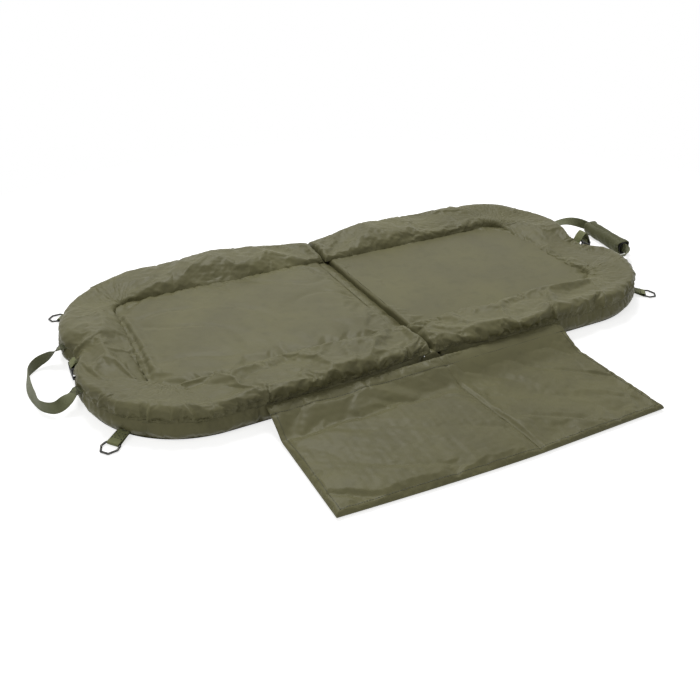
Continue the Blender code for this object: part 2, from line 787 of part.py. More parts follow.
def wire_ring(shop, name, pivot):
    """A six-sided wire ring, its bar on local Y through the pivot."""
    corners = [
        (0, -RING_BAR / 2),
        (RING_WAIST_OUT, -RING_WAIST / 2),
        (RING_DEPTH, -RING_TIP / 2),
        (RING_DEPTH, RING_TIP / 2),
        (RING_WAIST_OUT, RING_WAIST / 2),
        (0, RING_BAR / 2),
    ]
    wire = bpy.data.curves.new(name, "CURVE")
    wire.dimensions = "3D"
    wire.bevel_depth = RING_WIRE / 2
    wire.bevel_resolution = 2
    points = rounded_corners(corners, RING_CORNER)
    spline = wire.splines.new("POLY")
    spline.points.add(len(points) - 1)
    for spot, point in zip(spline.points, points):
        spot.co = (point.x, point.y, 0, 1)
    spline.use_cyclic_u = True
    return shop.add(name, wire, "black_metal", pivot)


def ring_tabs(shop):
    """The four webbing tabs at the corners, each with its wire ring lying on the ground."""
    loop_radius = RING_WIRE / 2 + CLEARANCE + WEBBING_THICKNESS / 2
    bar_height = loop_radius + WEBBING_THICKNESS / 2
    droop = math.asin((bar_height - RING_WIRE / 2) / RING_DEPTH)
    high = (TAB_ROOT, TAB_HEIGHT - WEBBING_THICKNESS / 2)
    low = (TAB_ROOT, high[1] - 2 * WEBBING_THICKNESS)
    line = tangent_loop(high, low, (TAB_REACH, bar_height), loop_radius)
    for side in (LEFT, RIGHT):
        for back, depth_name in ((-1, "front"), (1, "back")):
            place, heading = corner_place(side, back)
            stem = SIDE_NAMES[side] + "_" + depth_name
            foot = shop.pivot(stem + "_tab_place", place, heading)
            loop_ribbon(shop, stem + "_tab", line, "webbing", foot)
            bar = shop.empty(stem + "_ring_pivot", (TAB_REACH, 0, bar_height), foot)
            bar.rotation_euler = (0, droop, 0)
            wire_ring(shop, stem + "_ring", bar)


def buckle_socket(shop, pivot, bar):
    """The socket half of the closure buckle, hanging mouth down from its webbing."""
    top = bar[1] + BUCKLE_BAR / 2
    bm = bmesh.new()
    box_between(
        bm,
        (bar[0] - BUCKLE_THICKNESS / 2, -BUCKLE_WIDTH / 2, top - SOCKET_LENGTH),
        (bar[0] + BUCKLE_THICKNESS / 2, BUCKLE_WIDTH / 2, top),
    )
    socket = shop.add("closure_socket", mesh_from(bm, "socket"), "black_plastic", pivot)
    round_edges(socket, BUCKLE_ROUNDING)
    bottom = top - SOCKET_LENGTH
    tools = (
        shop.cutter(
            "socket_mouth_cutter",
            (SOCKET_MOUTH_HEIGHT, SOCKET_MOUTH_WIDTH, 2 * SOCKET_DEPTH),
            (bar[0], 0, bottom),
            pivot,
        ),
        shop.cutter(
            "socket_window_cutter",
            (SOCKET_MOUTH_HEIGHT, 2 * BUCKLE_WIDTH, SOCKET_WINDOW_HEIGHT),
            (bar[0], 0, bottom + SOCKET_WINDOW_UP),
            pivot,
        ),
    )
    for tool in tools:
        cut(socket, tool)
    slot_width = WEBBING_WIDTH + 2 * SLOT_PLAY
    slot = shop.cutter(
        "socket_slot_cutter",
        (2 * BUCKLE_THICKNESS, slot_width, SLOT_HEIGHT),
        (bar[0], 0, bar[1] - (BUCKLE_BAR + SLOT_HEIGHT) / 2),
        pivot,
    )
    cut(socket, slot)
    for face, way in (("inner", -1), ("outer", 1)):
        recess = shop.cutter(
            "socket_recess_cutter_" + face,
            (BUCKLE_THICKNESS - BUCKLE_BAR_DEPTH, slot_width, BUCKLE_BAR + 2 * SLOT_HEIGHT),
            (bar[0] + way * BUCKLE_THICKNESS / 2, 0, bar[1]),
            pivot,
        )
        cut(socket, recess)
    return socket


def plug_outline():
    """The plug seen flat, as (across, up) from its bar: a base, two springy prongs and a tongue."""
    half = BUCKLE_WIDTH / 2
    base = -PLUG_BASE
    tip = base - PLUG_LENGTH + PLUG_TAIL
    root = half - PRONG_STEP
    catch = half - PRONG_CATCH
    inside = root - PRONG_WIDTH
    right = [
        (half, BUCKLE_BAR / 2),
        (half, base),
        (root, base),
        (root, base - PRONG_ROOT),
        (catch, base - PRONG_ROOT - PRONG_CATCH * 2 / 3),
        ((catch + root) / 2, tip + PRONG_CATCH),
        ((inside + root) / 2, tip),
        (inside, tip + PRONG_CATCH),
        (inside, base),
        (TONGUE_WIDTH / 2, base),
        (TONGUE_WIDTH / 2 - TONGUE_TAPER, tip + TONGUE_SHORTER),
    ]
    return right + [(-across, up) for across, up in reversed(right)]


def buckle_plug(shop, pivot, bar):
    """The plug half of the closure buckle, hanging prongs down."""
    plate = bpy.data.curves.new("closure_plug", "CURVE")
    plate.dimensions = "2D"
    plate.fill_mode = "BOTH"
    plate.extrude = PLUG_THICKNESS / 2
    outer = [Vector((across, up)) for across, up in plug_outline()]
    slot_half = WEBBING_WIDTH / 2 + SLOT_PLAY
    near = -BUCKLE_BAR / 2
    far = near - SLOT_HEIGHT
    slot = [(-slot_half, near), (slot_half, near), (slot_half, far), (-slot_half, far)]
    for points in (outer, slot):
        spline = plate.splines.new("POLY")
        spline.points.add(len(points) - 1)
        for spot, point in zip(spline.points, points):
            spot.co = (point[0], point[1], 0, 1)
        spline.use_cyclic_u = True
    plug = shop.add("closure_plug", plate, "black_plastic", pivot)
    plug.matrix_local = Matrix.Translation((bar[0], 0, bar[1])) @ Matrix(
        ((0, 0, 1, 0), (1, 0, 0, 0), (0, 1, 0, 0), (0, 0, 0, 1))
    )
    return plug


def closure(shop):
    """The webbing and buckle halves at the two ends of the mat."""
    round_the_bar = CLEARANCE + WEBBING_THICKNESS / 2
    socket_loop = math.hypot(BUCKLE_BAR_DEPTH, BUCKLE_BAR) / 2 + round_the_bar
    plug_loop = math.hypot(PLUG_THICKNESS, BUCKLE_BAR) / 2 + round_the_bar
    high = SEAM_HEIGHT - WEBBING_THICKNESS

    left = shop.end_pivot("left_closure_pivot", LEFT, END_PINCH, high)
    bar = (SOCKET_OUT, SOCKET_BAR_HEIGHT - high)
    root_low = (TAB_ROOT / 2, -2 * WEBBING_THICKNESS)
    line = tangent_loop((TAB_ROOT, 0), root_low, bar, socket_loop)
    loop_ribbon(shop, "left_closure_strap", line, "webbing", left)
    buckle_socket(shop, left, bar)

    right = shop.end_pivot("right_closure_pivot", RIGHT, END_PINCH, high)
    bar = (PLUG_OUT, PLUG_BAR_HEIGHT - high)
    rise = PLUG_STRAP_RISE - high
    marks = [(TAB_ROOT, 0.0), (0.28 * PLUG_OUT, 0.55 * rise), (0.62 * PLUG_OUT, rise)]
    root_low = (0.72 * PLUG_OUT, 0.30 * rise)
    fold = tangent_loop((0.86 * PLUG_OUT, 0.62 * rise), root_low, bar, plug_loop, from_edge=False)
    line = [(CLEARANCE, 0.0)] + smooth_route(marks + [fold[0]], 3)[:-1] + fold
    loop_ribbon(shop, "right_closure_strap", line, "webbing", right)
    buckle_plug(shop, right, bar)


def stand_on_origin(shop):
    """Moves the mat's frame so that the origin lies on the ground under the middle of its box."""
    bpy.context.view_layer.update()
    graph = bpy.context.evaluated_depsgraph_get()
    low = Vector((math.inf, math.inf, math.inf))
    high = -low
    for piece in shop.parts.objects:
        if piece.type == "EMPTY":
            continue
        ready = piece.evaluated_get(graph)
        for corner in ready.to_mesh().vertices:
            place = ready.matrix_world @ corner.co
            low = Vector(map(min, low, place))
            high = Vector(map(max, high, place))
        ready.to_mesh_clear()
    shop.root.location = (-(low.x + high.x) / 2, -(low.y + high.y) / 2, 0)
    bpy.context.view_layer.update()


def build():
    """Builds the whole mat."""
    clear_scene()
    shop = Shop()
    fold = shop.pivot("fold_pivot", (0, 0, FOLD_AXIS_HEIGHT))
    for side in (LEFT, RIGHT):
        half = shop.empty(SIDE_NAMES[side] + "_half", (0, 0, -FOLD_AXIS_HEIGHT), fold)
        for make in (base_sheet, foam_board, top_panel, side_band, rim_foam, rim_cover):
            make(shop, side, half)
    fold_strip(shop, shop.root)
    for side in (LEFT, RIGHT):
        hinge = shop.pivot(SIDE_NAMES[side] + "_flap_pivot", (0, FLAP_HINGE_Y, FLAP_HINGE_Z))
        flap_foam(shop, side, hinge)
        flap_cover(shop, side, hinge)
        flap_web(shop, side, hinge)
    ring_tabs(shop)
    left_strap(shop)
    swing = strap_pivot(shop, RIGHT)
    right_strap(shop, swing)
    hand_wrap(shop, swing)
    closure(shop)
    stand_on_origin(shop)


build()
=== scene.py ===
"""Looks of a floating unhooking mat: coated cloth, padded rims, webbing straps and wire rings.

Metres. The pieces are made about the fold line of the mat and moved to its place in the frame at the end.
A place along the rim is a distance round the mat's edge, from the back of the fold to its front.
"""

import json
import logging
import math
from dataclasses import dataclass, field
from enum import Enum
from functools import partial
from typing import ClassVar

import bmesh
import bpy
import numpy as np
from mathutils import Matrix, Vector

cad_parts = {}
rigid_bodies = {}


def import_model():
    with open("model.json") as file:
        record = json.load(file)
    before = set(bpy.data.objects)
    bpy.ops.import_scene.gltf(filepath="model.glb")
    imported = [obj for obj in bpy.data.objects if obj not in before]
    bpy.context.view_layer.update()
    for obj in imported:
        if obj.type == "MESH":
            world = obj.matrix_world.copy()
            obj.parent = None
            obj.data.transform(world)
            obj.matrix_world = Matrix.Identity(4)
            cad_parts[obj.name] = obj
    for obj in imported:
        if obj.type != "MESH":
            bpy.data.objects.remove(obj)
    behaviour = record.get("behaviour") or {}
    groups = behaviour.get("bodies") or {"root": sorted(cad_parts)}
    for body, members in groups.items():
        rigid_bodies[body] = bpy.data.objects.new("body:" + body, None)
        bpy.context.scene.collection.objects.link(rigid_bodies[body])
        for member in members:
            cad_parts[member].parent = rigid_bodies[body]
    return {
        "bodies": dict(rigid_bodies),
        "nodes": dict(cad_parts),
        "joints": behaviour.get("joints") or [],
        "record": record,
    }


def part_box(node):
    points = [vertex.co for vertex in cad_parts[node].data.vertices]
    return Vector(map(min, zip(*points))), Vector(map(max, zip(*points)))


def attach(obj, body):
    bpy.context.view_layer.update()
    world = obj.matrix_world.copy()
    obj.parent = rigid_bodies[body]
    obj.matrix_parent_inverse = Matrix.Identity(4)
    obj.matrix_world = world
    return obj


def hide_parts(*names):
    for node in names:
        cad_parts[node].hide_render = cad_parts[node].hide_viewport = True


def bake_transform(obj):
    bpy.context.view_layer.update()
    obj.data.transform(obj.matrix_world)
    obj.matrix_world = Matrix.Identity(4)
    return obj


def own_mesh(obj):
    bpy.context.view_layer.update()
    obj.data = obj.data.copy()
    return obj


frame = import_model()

Piece = bpy.types.Object
Material = bpy.types.Material
NodeTree = bpy.types.NodeTree
LOG = logging.getLogger("unhooking_mat")
PHOTO_SIDE = 700
SENSOR = 36.0
LEFT_EDGE_ABOVE_STRIP = 0.0025  # where the left panel's edge ends, above the top of the fold strip
RIGHT_EDGE_ABOVE_STRIP = 0.0105  # where the right panel's edge ends, above the strip's underside
UP = np.array([0.0, 0.0, 1.0])


class Half(Enum):
    """The two halves of the mat, and the way each lies from the fold."""

    LEFT = -1
    RIGHT = 1

    @property
    def label(self) -> str:
        """The word that the names of its pieces start with."""
        return self.name.lower()

    @property
    def body(self) -> str:
        """The body that its fixed pieces ride on."""
        return f"{self.label}_half"


def clear_defaults() -> None:
    """Removes the objects that Blender's own start file holds."""
    kept = set(frame["nodes"].values()) | set(frame["bodies"].values())
    for item in list(bpy.data.objects):
        if item not in kept:
            bpy.data.objects.remove(item, do_unlink=True)


def joint(name: str) -> dict:
    """The named joint of the frame."""
    return next(row for row in frame["joints"] if row["name"] == name)


def ease(value: np.ndarray | float) -> np.ndarray | float:
    """A smooth step from 0 to 1, of a number or an array."""
    value = np.clip(value, 0.0, 1.0)
    return value * value * (3 - 2 * value)


def unit(vectors: np.ndarray) -> np.ndarray:
    """Vectors along the last axis, each made one long."""
    return vectors / np.maximum(np.linalg.norm(vectors, axis=-1, keepdims=True), 1e-9)


def linear(code: str) -> tuple[float, float, float, float]:
    """Turns an sRGB colour code into linear light.

    Args:
        code: six hex digits, red first.

    Returns:
        The colour as linear red, green, blue and an alpha of one.
    """
    parts = [int(code[i:i + 2], 16) / 255 for i in (0, 2, 4)]
    lit = [p / 12.92 if p <= 0.04045 else ((p + 0.055) / 1.055) ** 2.4 for p in parts]
    return (*lit, 1.0)


def add_node(
    tree: NodeTree, kind: str, values: dict | None = None, links: dict | None = None, **settings: object
) -> bpy.types.Node:
    """Adds a node to a shader or geometry tree.

    Args:
        tree: the node tree.
        kind: the node's type name.
        values: input name or index, and the value it is set to.
        links: input name or index, and the (node, output) that feeds it.
        settings: attributes of the node.

    Returns:
        The new node.
    """
    node = tree.nodes.new(kind)
    for key, value in settings.items():
        setattr(node, key, value)
    for key, value in (values or {}).items():
        node.inputs[key].default_value = value
    for key, (source, output) in (links or {}).items():
        tree.links.new(source.outputs[output], node.inputs[key])
    return node


def add_object(name: str, data: bpy.types.ID) -> Piece:
    """Adds an object at the origin to the scene.

    Args:
        name: the object's name.
        data: its mesh, lamp or camera.

    Returns:
        The object.
    """
    made = bpy.data.objects.new(name, data)
    bpy.context.scene.collection.objects.link(made)
    return made


def new_finish(name: str) -> tuple[Material, partial]:
    """Adds a material without nodes.

    Args:
        name: the material's name.

    Returns:
        The material, and what adds a node to it.
    """
    finish = bpy.data.materials.new(name)
    finish.use_nodes = True
    finish.node_tree.nodes.clear()
    return finish, partial(add_node, finish.node_tree)


def tie(piece: Piece, body: str, slot: str, *nodes: str) -> None:
    """Puts a piece on its body.

    Args:
        piece: the piece.
        body: the body that it rides on.
        slot: not used.
        nodes: the solids that it stands for.
    """
    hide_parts(*nodes)
    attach(piece, body)


@dataclass(frozen=True)
class MatPlan:
    """Sizes of the mat. The outer ones are read from the frame."""

    origin: Vector
    half_length: float
    half_width: float
    seam: float
    crest: float
    corner_radius: float = 0.215
    rim_width: float = 0.130
    rim_corner: float = 0.035
    fold_pinch: float = 0.020
    fold_reach: float = 0.150
    fold_drop: float = 0.014
    end_pinch: float = 0.014
    end_flat: float = 0.018
    end_reach: float = 0.050
    half_gap: float = 0.020
    clearance: float = 0.0003

    @classmethod
    def from_frame(cls) -> "MatPlan":
        """Reads the outer sizes from the solids and the fold joint."""
        low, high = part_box("right_base_sheet")
        fold = joint("mat_fold")["pos_m"]
        return cls(
            origin=Vector((fold[0], fold[1], 0)),
            half_length=high.x - fold[0],
            half_width=(high.y - low.y) / 2,
            seam=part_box("right_side_band")[1].z,
            crest=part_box("right_rim_cover")[1].z,
        )

    def end_draw(self, y: np.ndarray) -> np.ndarray:
        """How far the closure draws in the end of the mat."""
        return self.end_pinch * (1 - ease((np.abs(y) - self.end_flat) / self.end_reach))

    def fold_draw(self, x: np.ndarray) -> np.ndarray:
        """How far the long edges are drawn in near the fold."""
        return self.fold_pinch * (1 - ease(np.abs(x) / self.fold_reach))

    def round_path(self, start: float, steps: tuple[int, int, int], inner: bool) -> np.ndarray:
        """Plan points round a half, from the back of the fold to its front, with x counted outwards.

        Args:
            start: how far from the fold line it starts and ends.
            steps: the number of steps along a side, round a corner and down half of the end.
            inner: whether it is the line round the panel, and not the edge of the mat.

        Returns:
            An array of (x, y).
        """
        inset = self.rim_width if inner else 0.0
        radius = self.rim_corner if inner else self.corner_radius
        side, corner, end = steps
        centre = np.array([self.half_length - inset, self.half_width - inset]) - radius
        x = np.linspace(start, centre[0], side, endpoint=False)
        y = np.full(side, centre[1] + radius)
        turn = np.linspace(math.pi / 2, 0, corner + 1)
        arc = centre + radius * np.stack([np.cos(turn), np.sin(turn)], axis=1)
        level = np.linspace(centre[1], 0, end + 1)[1:]
        out = np.full(end, centre[0] + radius)
        if not inner:
            y = y - self.fold_draw(x)
            out = out - self.end_draw(level)
        quarter = np.concatenate([np.stack([x, y], axis=1), arc, np.stack([out, level], axis=1)])
        return np.concatenate([quarter, quarter[-2::-1] * (1, -1)])


@dataclass
class Waves:
    """Smooth unevenness over a surface: a sum of seeded waves, about as high as its height."""

    seed: int
    shortest: float
    longest: float
    count: int = 24
    heading: float = 0.0
    spread: float = math.pi
    height: float = 1.0

    def __call__(self, u: np.ndarray, v: np.ndarray) -> np.ndarray:
        """The height at each place.

        Args:
            u: distance one way over the surface.
            v: distance the other way.

        Returns:
            An array of their shape.
        """
        rng = np.random.default_rng(self.seed)
        length = np.exp(rng.uniform(math.log(self.shortest), math.log(self.longest), self.count))
        turn = self.heading + rng.uniform(-self.spread, self.spread, self.count)
        phase = rng.uniform(0, 2 * math.pi, self.count)
        weight = (length / self.longest) ** 0.8
        total = np.zeros(np.broadcast(u, v).shape)
        for size, way, shift, share in zip(length, turn, phase, weight):
            along = (u * math.cos(way) + v * math.sin(way)) / size
            total += share * np.sin(2 * math.pi * along + shift)
        return self.height * (total / (1.6 * math.sqrt(float((weight ** 2).sum()))))


@dataclass(frozen=True)
class Tuck:
    """A fold drawn into padded cloth across a seam: sharp at the bottom, with a puff on each side."""

    place: float
    depth: float
    width: float
    reach: float
    lean: float = 0.0
    start: float = 0.0

    def sink(self, along: np.ndarray, across: np.ndarray) -> np.ndarray:
        """How far the cloth sinks at each place.

        Args:
            along: distance along the seam.
            across: distance from the seam.

        Returns:
            An array of depths, negative on the puffs.
        """
        away = np.abs(along - self.place - self.lean * across)
        near = np.exp(-away / self.width)
        puff = 0.55 * np.exp(-((away / (4.5 * self.width)) ** 2))
        fade = 1 - ease((across - self.start) / self.reach)
        fade = fade * ease((across - self.start + 0.35 * self.reach) / (0.35 * self.reach))
        return self.depth * (near - puff) * fade


@dataclass(frozen=True)
class Hollow:
    """A stretch of the rim that its straps pull down and inwards, by its distance round the rim."""

    place: float
    span: float
    sag: float
    inset: float

    def share(self, around: np.ndarray) -> np.ndarray:
        """How strongly it acts at each distance round the rim."""
        return np.exp(-(((around - self.place) / self.span) ** 2))


HOLLOWS = {
    Half.LEFT: (Hollow(0.873, 0.060, 0.20, 0.0), Hollow(0.640, 0.110, 0.24, 0.012)),
    Half.RIGHT: (Hollow(0.873, 0.060, 0.10, 0.0), Hollow(0.920, 0.075, 0.42, 0.012)),
}


def gathers(seed: int, length: float, spacing: float, depth: tuple, reach: tuple) -> list[Tuck]:
    """Small tucks along a seam, at uneven distances.

    Args:
        seed: seed of their unevenness.
        length: length of the seam.
        spacing: mean distance between two.
        depth: least and greatest depth.
        reach: least and greatest length across.

    Returns:
        The tucks, in order along the seam.
    """
    rng = np.random.default_rng(seed)
    made = []
    place = spacing * rng.uniform(0.3, 1.0)
    while place < length:
        strong = rng.uniform() ** 2
        made.append(
            Tuck(
                place=place,
                depth=depth[0] + (depth[1] - depth[0]) * strong,
                width=rng.uniform(0.0022, 0.0045),
                reach=reach[0] + (reach[1] - reach[0]) * rng.uniform(0.2, 1.0) * (0.4 + 0.6 * strong),
                lean=rng.uniform(-0.35, 0.35),
            )
        )
        place += spacing * rng.uniform(0.45, 1.7)
    return made


def widened(tucks: list[Tuck], factor: float) -> list[Tuck]:
    """The same tucks, each wider by a factor."""
    return [Tuck(t.place, t.depth, t.width * factor, t.reach, t.lean) for t in tucks]


def total_sink(tucks: list[Tuck], along: np.ndarray, across: np.ndarray) -> np.ndarray:
    """How far all the tucks together sink the cloth."""
    total = np.zeros(np.broadcast(along, across).shape)
    for tuck in tucks:
        total += tuck.sink(along, across)
    return total


def smooth_route(marks: np.ndarray, per_span: int) -> np.ndarray:
    """Rows along a smooth curve through the given rows.

    Args:
        marks: one row for each place, its first columns the place and any others carried along.
        per_span: the number of rows made for each span between two marks.

    Returns:
        The rows of the curve.
    """
    gaps = np.linalg.norm(np.diff(marks[:, :3], axis=0), axis=1)[:, None]
    slopes = np.diff(marks, axis=0) / gaps
    inner = (slopes[:-1] * gaps[1:] + slopes[1:] * gaps[:-1]) / (gaps[:-1] + gaps[1:])
    tangents = np.concatenate([slopes[:1], inner, slopes[-1:]])
    t = (np.arange(per_span) / per_span)[None, :, None]
    start, stop = marks[:-1, None], marks[1:, None]
    rows = start + (stop - start) * t * t * (3 - 2 * t)
    rows = rows + tangents[:-1, None] * t * (1 - t) ** 2 * gaps[:, None]
    rows = rows - tangents[1:, None] * t * t * (1 - t) * gaps[:, None]
    return np.concatenate([rows.reshape(-1, marks.shape[1]), marks[-1:]])


def tangent_loop(high: tuple, low: tuple, bar: tuple, radius: float, steps: int) -> np.ndarray:
    """A line of (out, up) from one root round a bar and back to the other root.

    Args:
        high: the root that it leaves from.
        low: the root that it comes back to.
        bar: the middle of the bar.
        radius: of the turn round the bar.
        steps: of that turn.

    Returns:
        An array of (out, up).
    """
    def touch(root: tuple, way: int) -> float:
        """The angle at which a straight line from a root meets the turn."""
        out, up = root[0] - bar[0], root[1] - bar[1]
        return math.atan2(up, out) + way * math.acos(radius / math.hypot(out, up))

    turns = np.linspace(touch(high, -1), touch(low, 1) - 2 * math.pi, steps + 1)
    arc = np.array(bar) + radius * np.stack([np.cos(turns), np.sin(turns)], axis=1)
    return np.concatenate([[high], arc, [low]])


def level_ways(heading: float) -> tuple[np.ndarray, np.ndarray]:
    """Two level unit vectors: along a heading, and square to it."""
    out, aside = math.cos(heading), math.sin(heading)
    return np.array([out, aside, 0.0]), np.array([-aside, out, 0.0])


def body_of_joint(name: str) -> str:
    """The body that the named joint moves."""
    return joint(name)["child"]


def arc_lengths(path: np.ndarray) -> np.ndarray:
    """Distance along a line of points, from its first."""
    return np.concatenate([[0.0], np.cumsum(np.linalg.norm(np.diff(path, axis=0), axis=1))])


def grid_normals(grid: np.ndarray) -> np.ndarray:
    """Unit normals of a grid of points, on the side where its first axis crosses its second."""
    return unit(np.cross(np.gradient(grid, axis=0), np.gradient(grid, axis=1)))


def finer(grid: np.ndarray, times: int, axis: int) -> np.ndarray:
    """A grid with more points along one axis, on smooth curves through the old ones."""
    data = np.moveaxis(grid, axis, 0)
    count = len(data)
    padded = np.concatenate([[2 * data[0] - data[1]], data, [2 * data[-1] - data[-2]]])
    place = np.arange((count - 1) * times + 1) / times
    base = np.minimum(place.astype(int), count - 2)
    t = (place - base).reshape((-1,) + (1,) * (data.ndim - 1))
    a, b, c, d = (padded[base + k] for k in range(4))
    made = b + 0.5 * t * (c - a + t * (2 * a - 5 * b + 4 * c - d + t * (3 * (b - c) + d - a)))
    return np.moveaxis(made, 0, axis)


def doubled(grid: np.ndarray) -> np.ndarray:
    """A grid with twice as many steps along both axes."""
    return finer(finer(grid, 2, axis=0), 2, axis=1)


def smoothed(grid: np.ndarray, passes: int) -> np.ndarray:
    """A grid whose inner points are drawn towards their neighbours, its borders kept."""
    for _ in range(passes):
        middle = grid[1:-1, 1:-1]
        around = grid[:-2, 1:-1] + grid[2:, 1:-1] + grid[1:-1, :-2] + grid[1:-1, 2:]
        grid = grid.copy()
        grid[1:-1, 1:-1] = 0.4 * middle + 0.15 * around
    return grid


@dataclass
class Sewn:
    """Turns grids of points into finished pieces, with a UV map in metres."""

    plan: MatPlan
    ribbon_steps: int = 24
    ribbon_turn: float = 0.01  # keeps every point off the middle of a side
    edge_power: float = 0.5
    face_power: float = 0.35

    def piece(
        self, name: str, points: np.ndarray, faces: list, finish: Material, uv: np.ndarray
    ) -> Piece:
        """A new object from points about the fold line.

        Args:
            name: the piece's name.
            points: an array of points.
            faces: tuples of point numbers.
            finish: the material.
            uv: one (u, v) in metres for each point.

        Returns:
            The object.
        """
        data = bpy.data.meshes.new(name)
        data.from_pydata((points + np.array(self.plan.origin)).tolist(), [], faces)
        bm = bmesh.new()
        bm.from_mesh(data)
        bmesh.ops.recalc_face_normals(bm, faces=bm.faces)
        bm.to_mesh(data)
        bm.free()
        layer = data.uv_layers.new(name="cloth")
        corners = np.zeros(len(data.loops), np.int32)
        data.loops.foreach_get("vertex_index", corners)
        layer.data.foreach_set("uv", uv[corners].astype(np.float32).ravel())
        data.materials.append(finish)
        data.shade_smooth()
        made = add_object(name, data)
        LOG.info("%s: %d faces", name, len(data.polygons))
        return made

    @staticmethod
    def quads(rows: int, columns: int, wrap_rows: bool = False, wrap_columns: bool = False) -> list:
        """Faces of a grid whose points are numbered along its rows.

        Args:
            rows: the number of rows.
            columns: the number of points in a row.
            wrap_rows: whether the last row meets the first.
            wrap_columns: whether the end of a row meets its start.

        Returns:
            A list of four point numbers for each face.
        """
        i = np.arange(rows if wrap_rows else rows - 1)
        j = np.arange(columns if wrap_columns else columns - 1)
        i, j = np.meshgrid(i, j, indexing="ij")
        k, m = (i + 1) % rows, (j + 1) % columns
        faces = np.stack([i * columns + j, k * columns + j, k * columns + m, i * columns + m], axis=-1)
        return faces.reshape(-1, 4).tolist()

    def sheet(self, name: str, grid: np.ndarray, finish: Material, wrap: bool = False) -> Piece:
        """An open sheet from a grid, whose rows may close into a loop."""
        rows, columns = grid.shape[:2]
        return self.piece(
            name, grid.reshape(-1, 3), self.quads(rows, columns, wrap), finish, self.flat(grid)
        )

    def tube(self, name: str, grid: np.ndarray, finish: Material) -> Piece:
        """A closed form from sections that follow one another, with flat ends."""
        rows, columns = grid.shape[:2]
        faces = self.quads(rows, columns, wrap_columns=True)
        faces.append(list(range(columns)))
        faces.append([(rows - 1) * columns + j for j in range(columns)])
        return self.piece(name, grid.reshape(-1, 3), faces, finish, self.flat(grid))

    def pillow(self, name: str, top: np.ndarray, bottom: np.ndarray, finish: Material) -> Piece:
        """A closed form from two sheets that share their borders."""
        rows, columns = top.shape[:2]
        count = rows * columns
        number = np.arange(count).reshape(rows, columns)
        under = number.copy()
        inside = (rows - 2) * (columns - 2)
        under[1:-1, 1:-1] = count + np.arange(inside).reshape(rows - 2, columns - 2)
        points = np.concatenate([top.reshape(-1, 3), bottom[1:-1, 1:-1].reshape(-1, 3)])
        faces = self.quads(rows, columns)
        lower = under.reshape(-1)
        faces += [[int(lower[k]) for k in reversed(face)] for face in faces]
        flat = self.flat(top)
        inner = flat.reshape(rows, columns, 2)[1:-1, 1:-1].reshape(-1, 2)
        return self.piece(name, points, faces, finish, np.concatenate([flat, inner]))

    def ribbon(
        self, name: str, places: np.ndarray, widths: np.ndarray, finish: Material, thickness: float
    ) -> Piece:
        """Webbing along a line, with a woven edge that is rounded.

        Args:
            name: the piece's name.
            places: the points of its middle line.
            widths: half its width at each, as vectors.
            finish: the material.
            thickness: of the webbing.

        Returns:
            The object.
        """
        up = unit(np.cross(np.gradient(places, axis=0), widths)) * thickness / 2
        turn = np.linspace(0, 2 * math.pi, self.ribbon_steps, endpoint=False) + self.ribbon_turn
        side = np.sign(np.cos(turn)) * np.abs(np.cos(turn)) ** self.edge_power
        lift = np.sign(np.sin(turn)) * np.abs(np.sin(turn)) ** self.face_power
        grid = places[:, None] + widths[:, None] * side[:, None] + up[:, None] * lift[:, None]
        return self.tube(name, grid, finish)

    def dish(self, name: str, grid: np.ndarray, finish: Material) -> Piece:
        """A sheet from loops that shrink towards its middle, where the last one is filled."""
        rows, columns = grid.shape[:2]
        faces = self.quads(rows, columns, wrap_columns=True)
        faces.append([(rows - 1) * columns + j for j in range(columns)])
        points = grid.reshape(-1, 3)
        return self.piece(name, points, faces, finish, points[:, :2].copy())

    @staticmethod
    def flat(grid: np.ndarray) -> np.ndarray:
        """The place of each point of a grid on its flat cloth, in metres."""
        down = np.linalg.norm(np.diff(grid, axis=0), axis=2).mean(axis=1)
        over = np.linalg.norm(np.diff(grid, axis=1), axis=2).mean(axis=0)
        u = np.concatenate([[0.0], np.cumsum(down)])
        v = np.concatenate([[0.0], np.cumsum(over)])
        return np.stack(np.meshgrid(u, v, indexing="ij"), axis=-1).reshape(-1, 2)


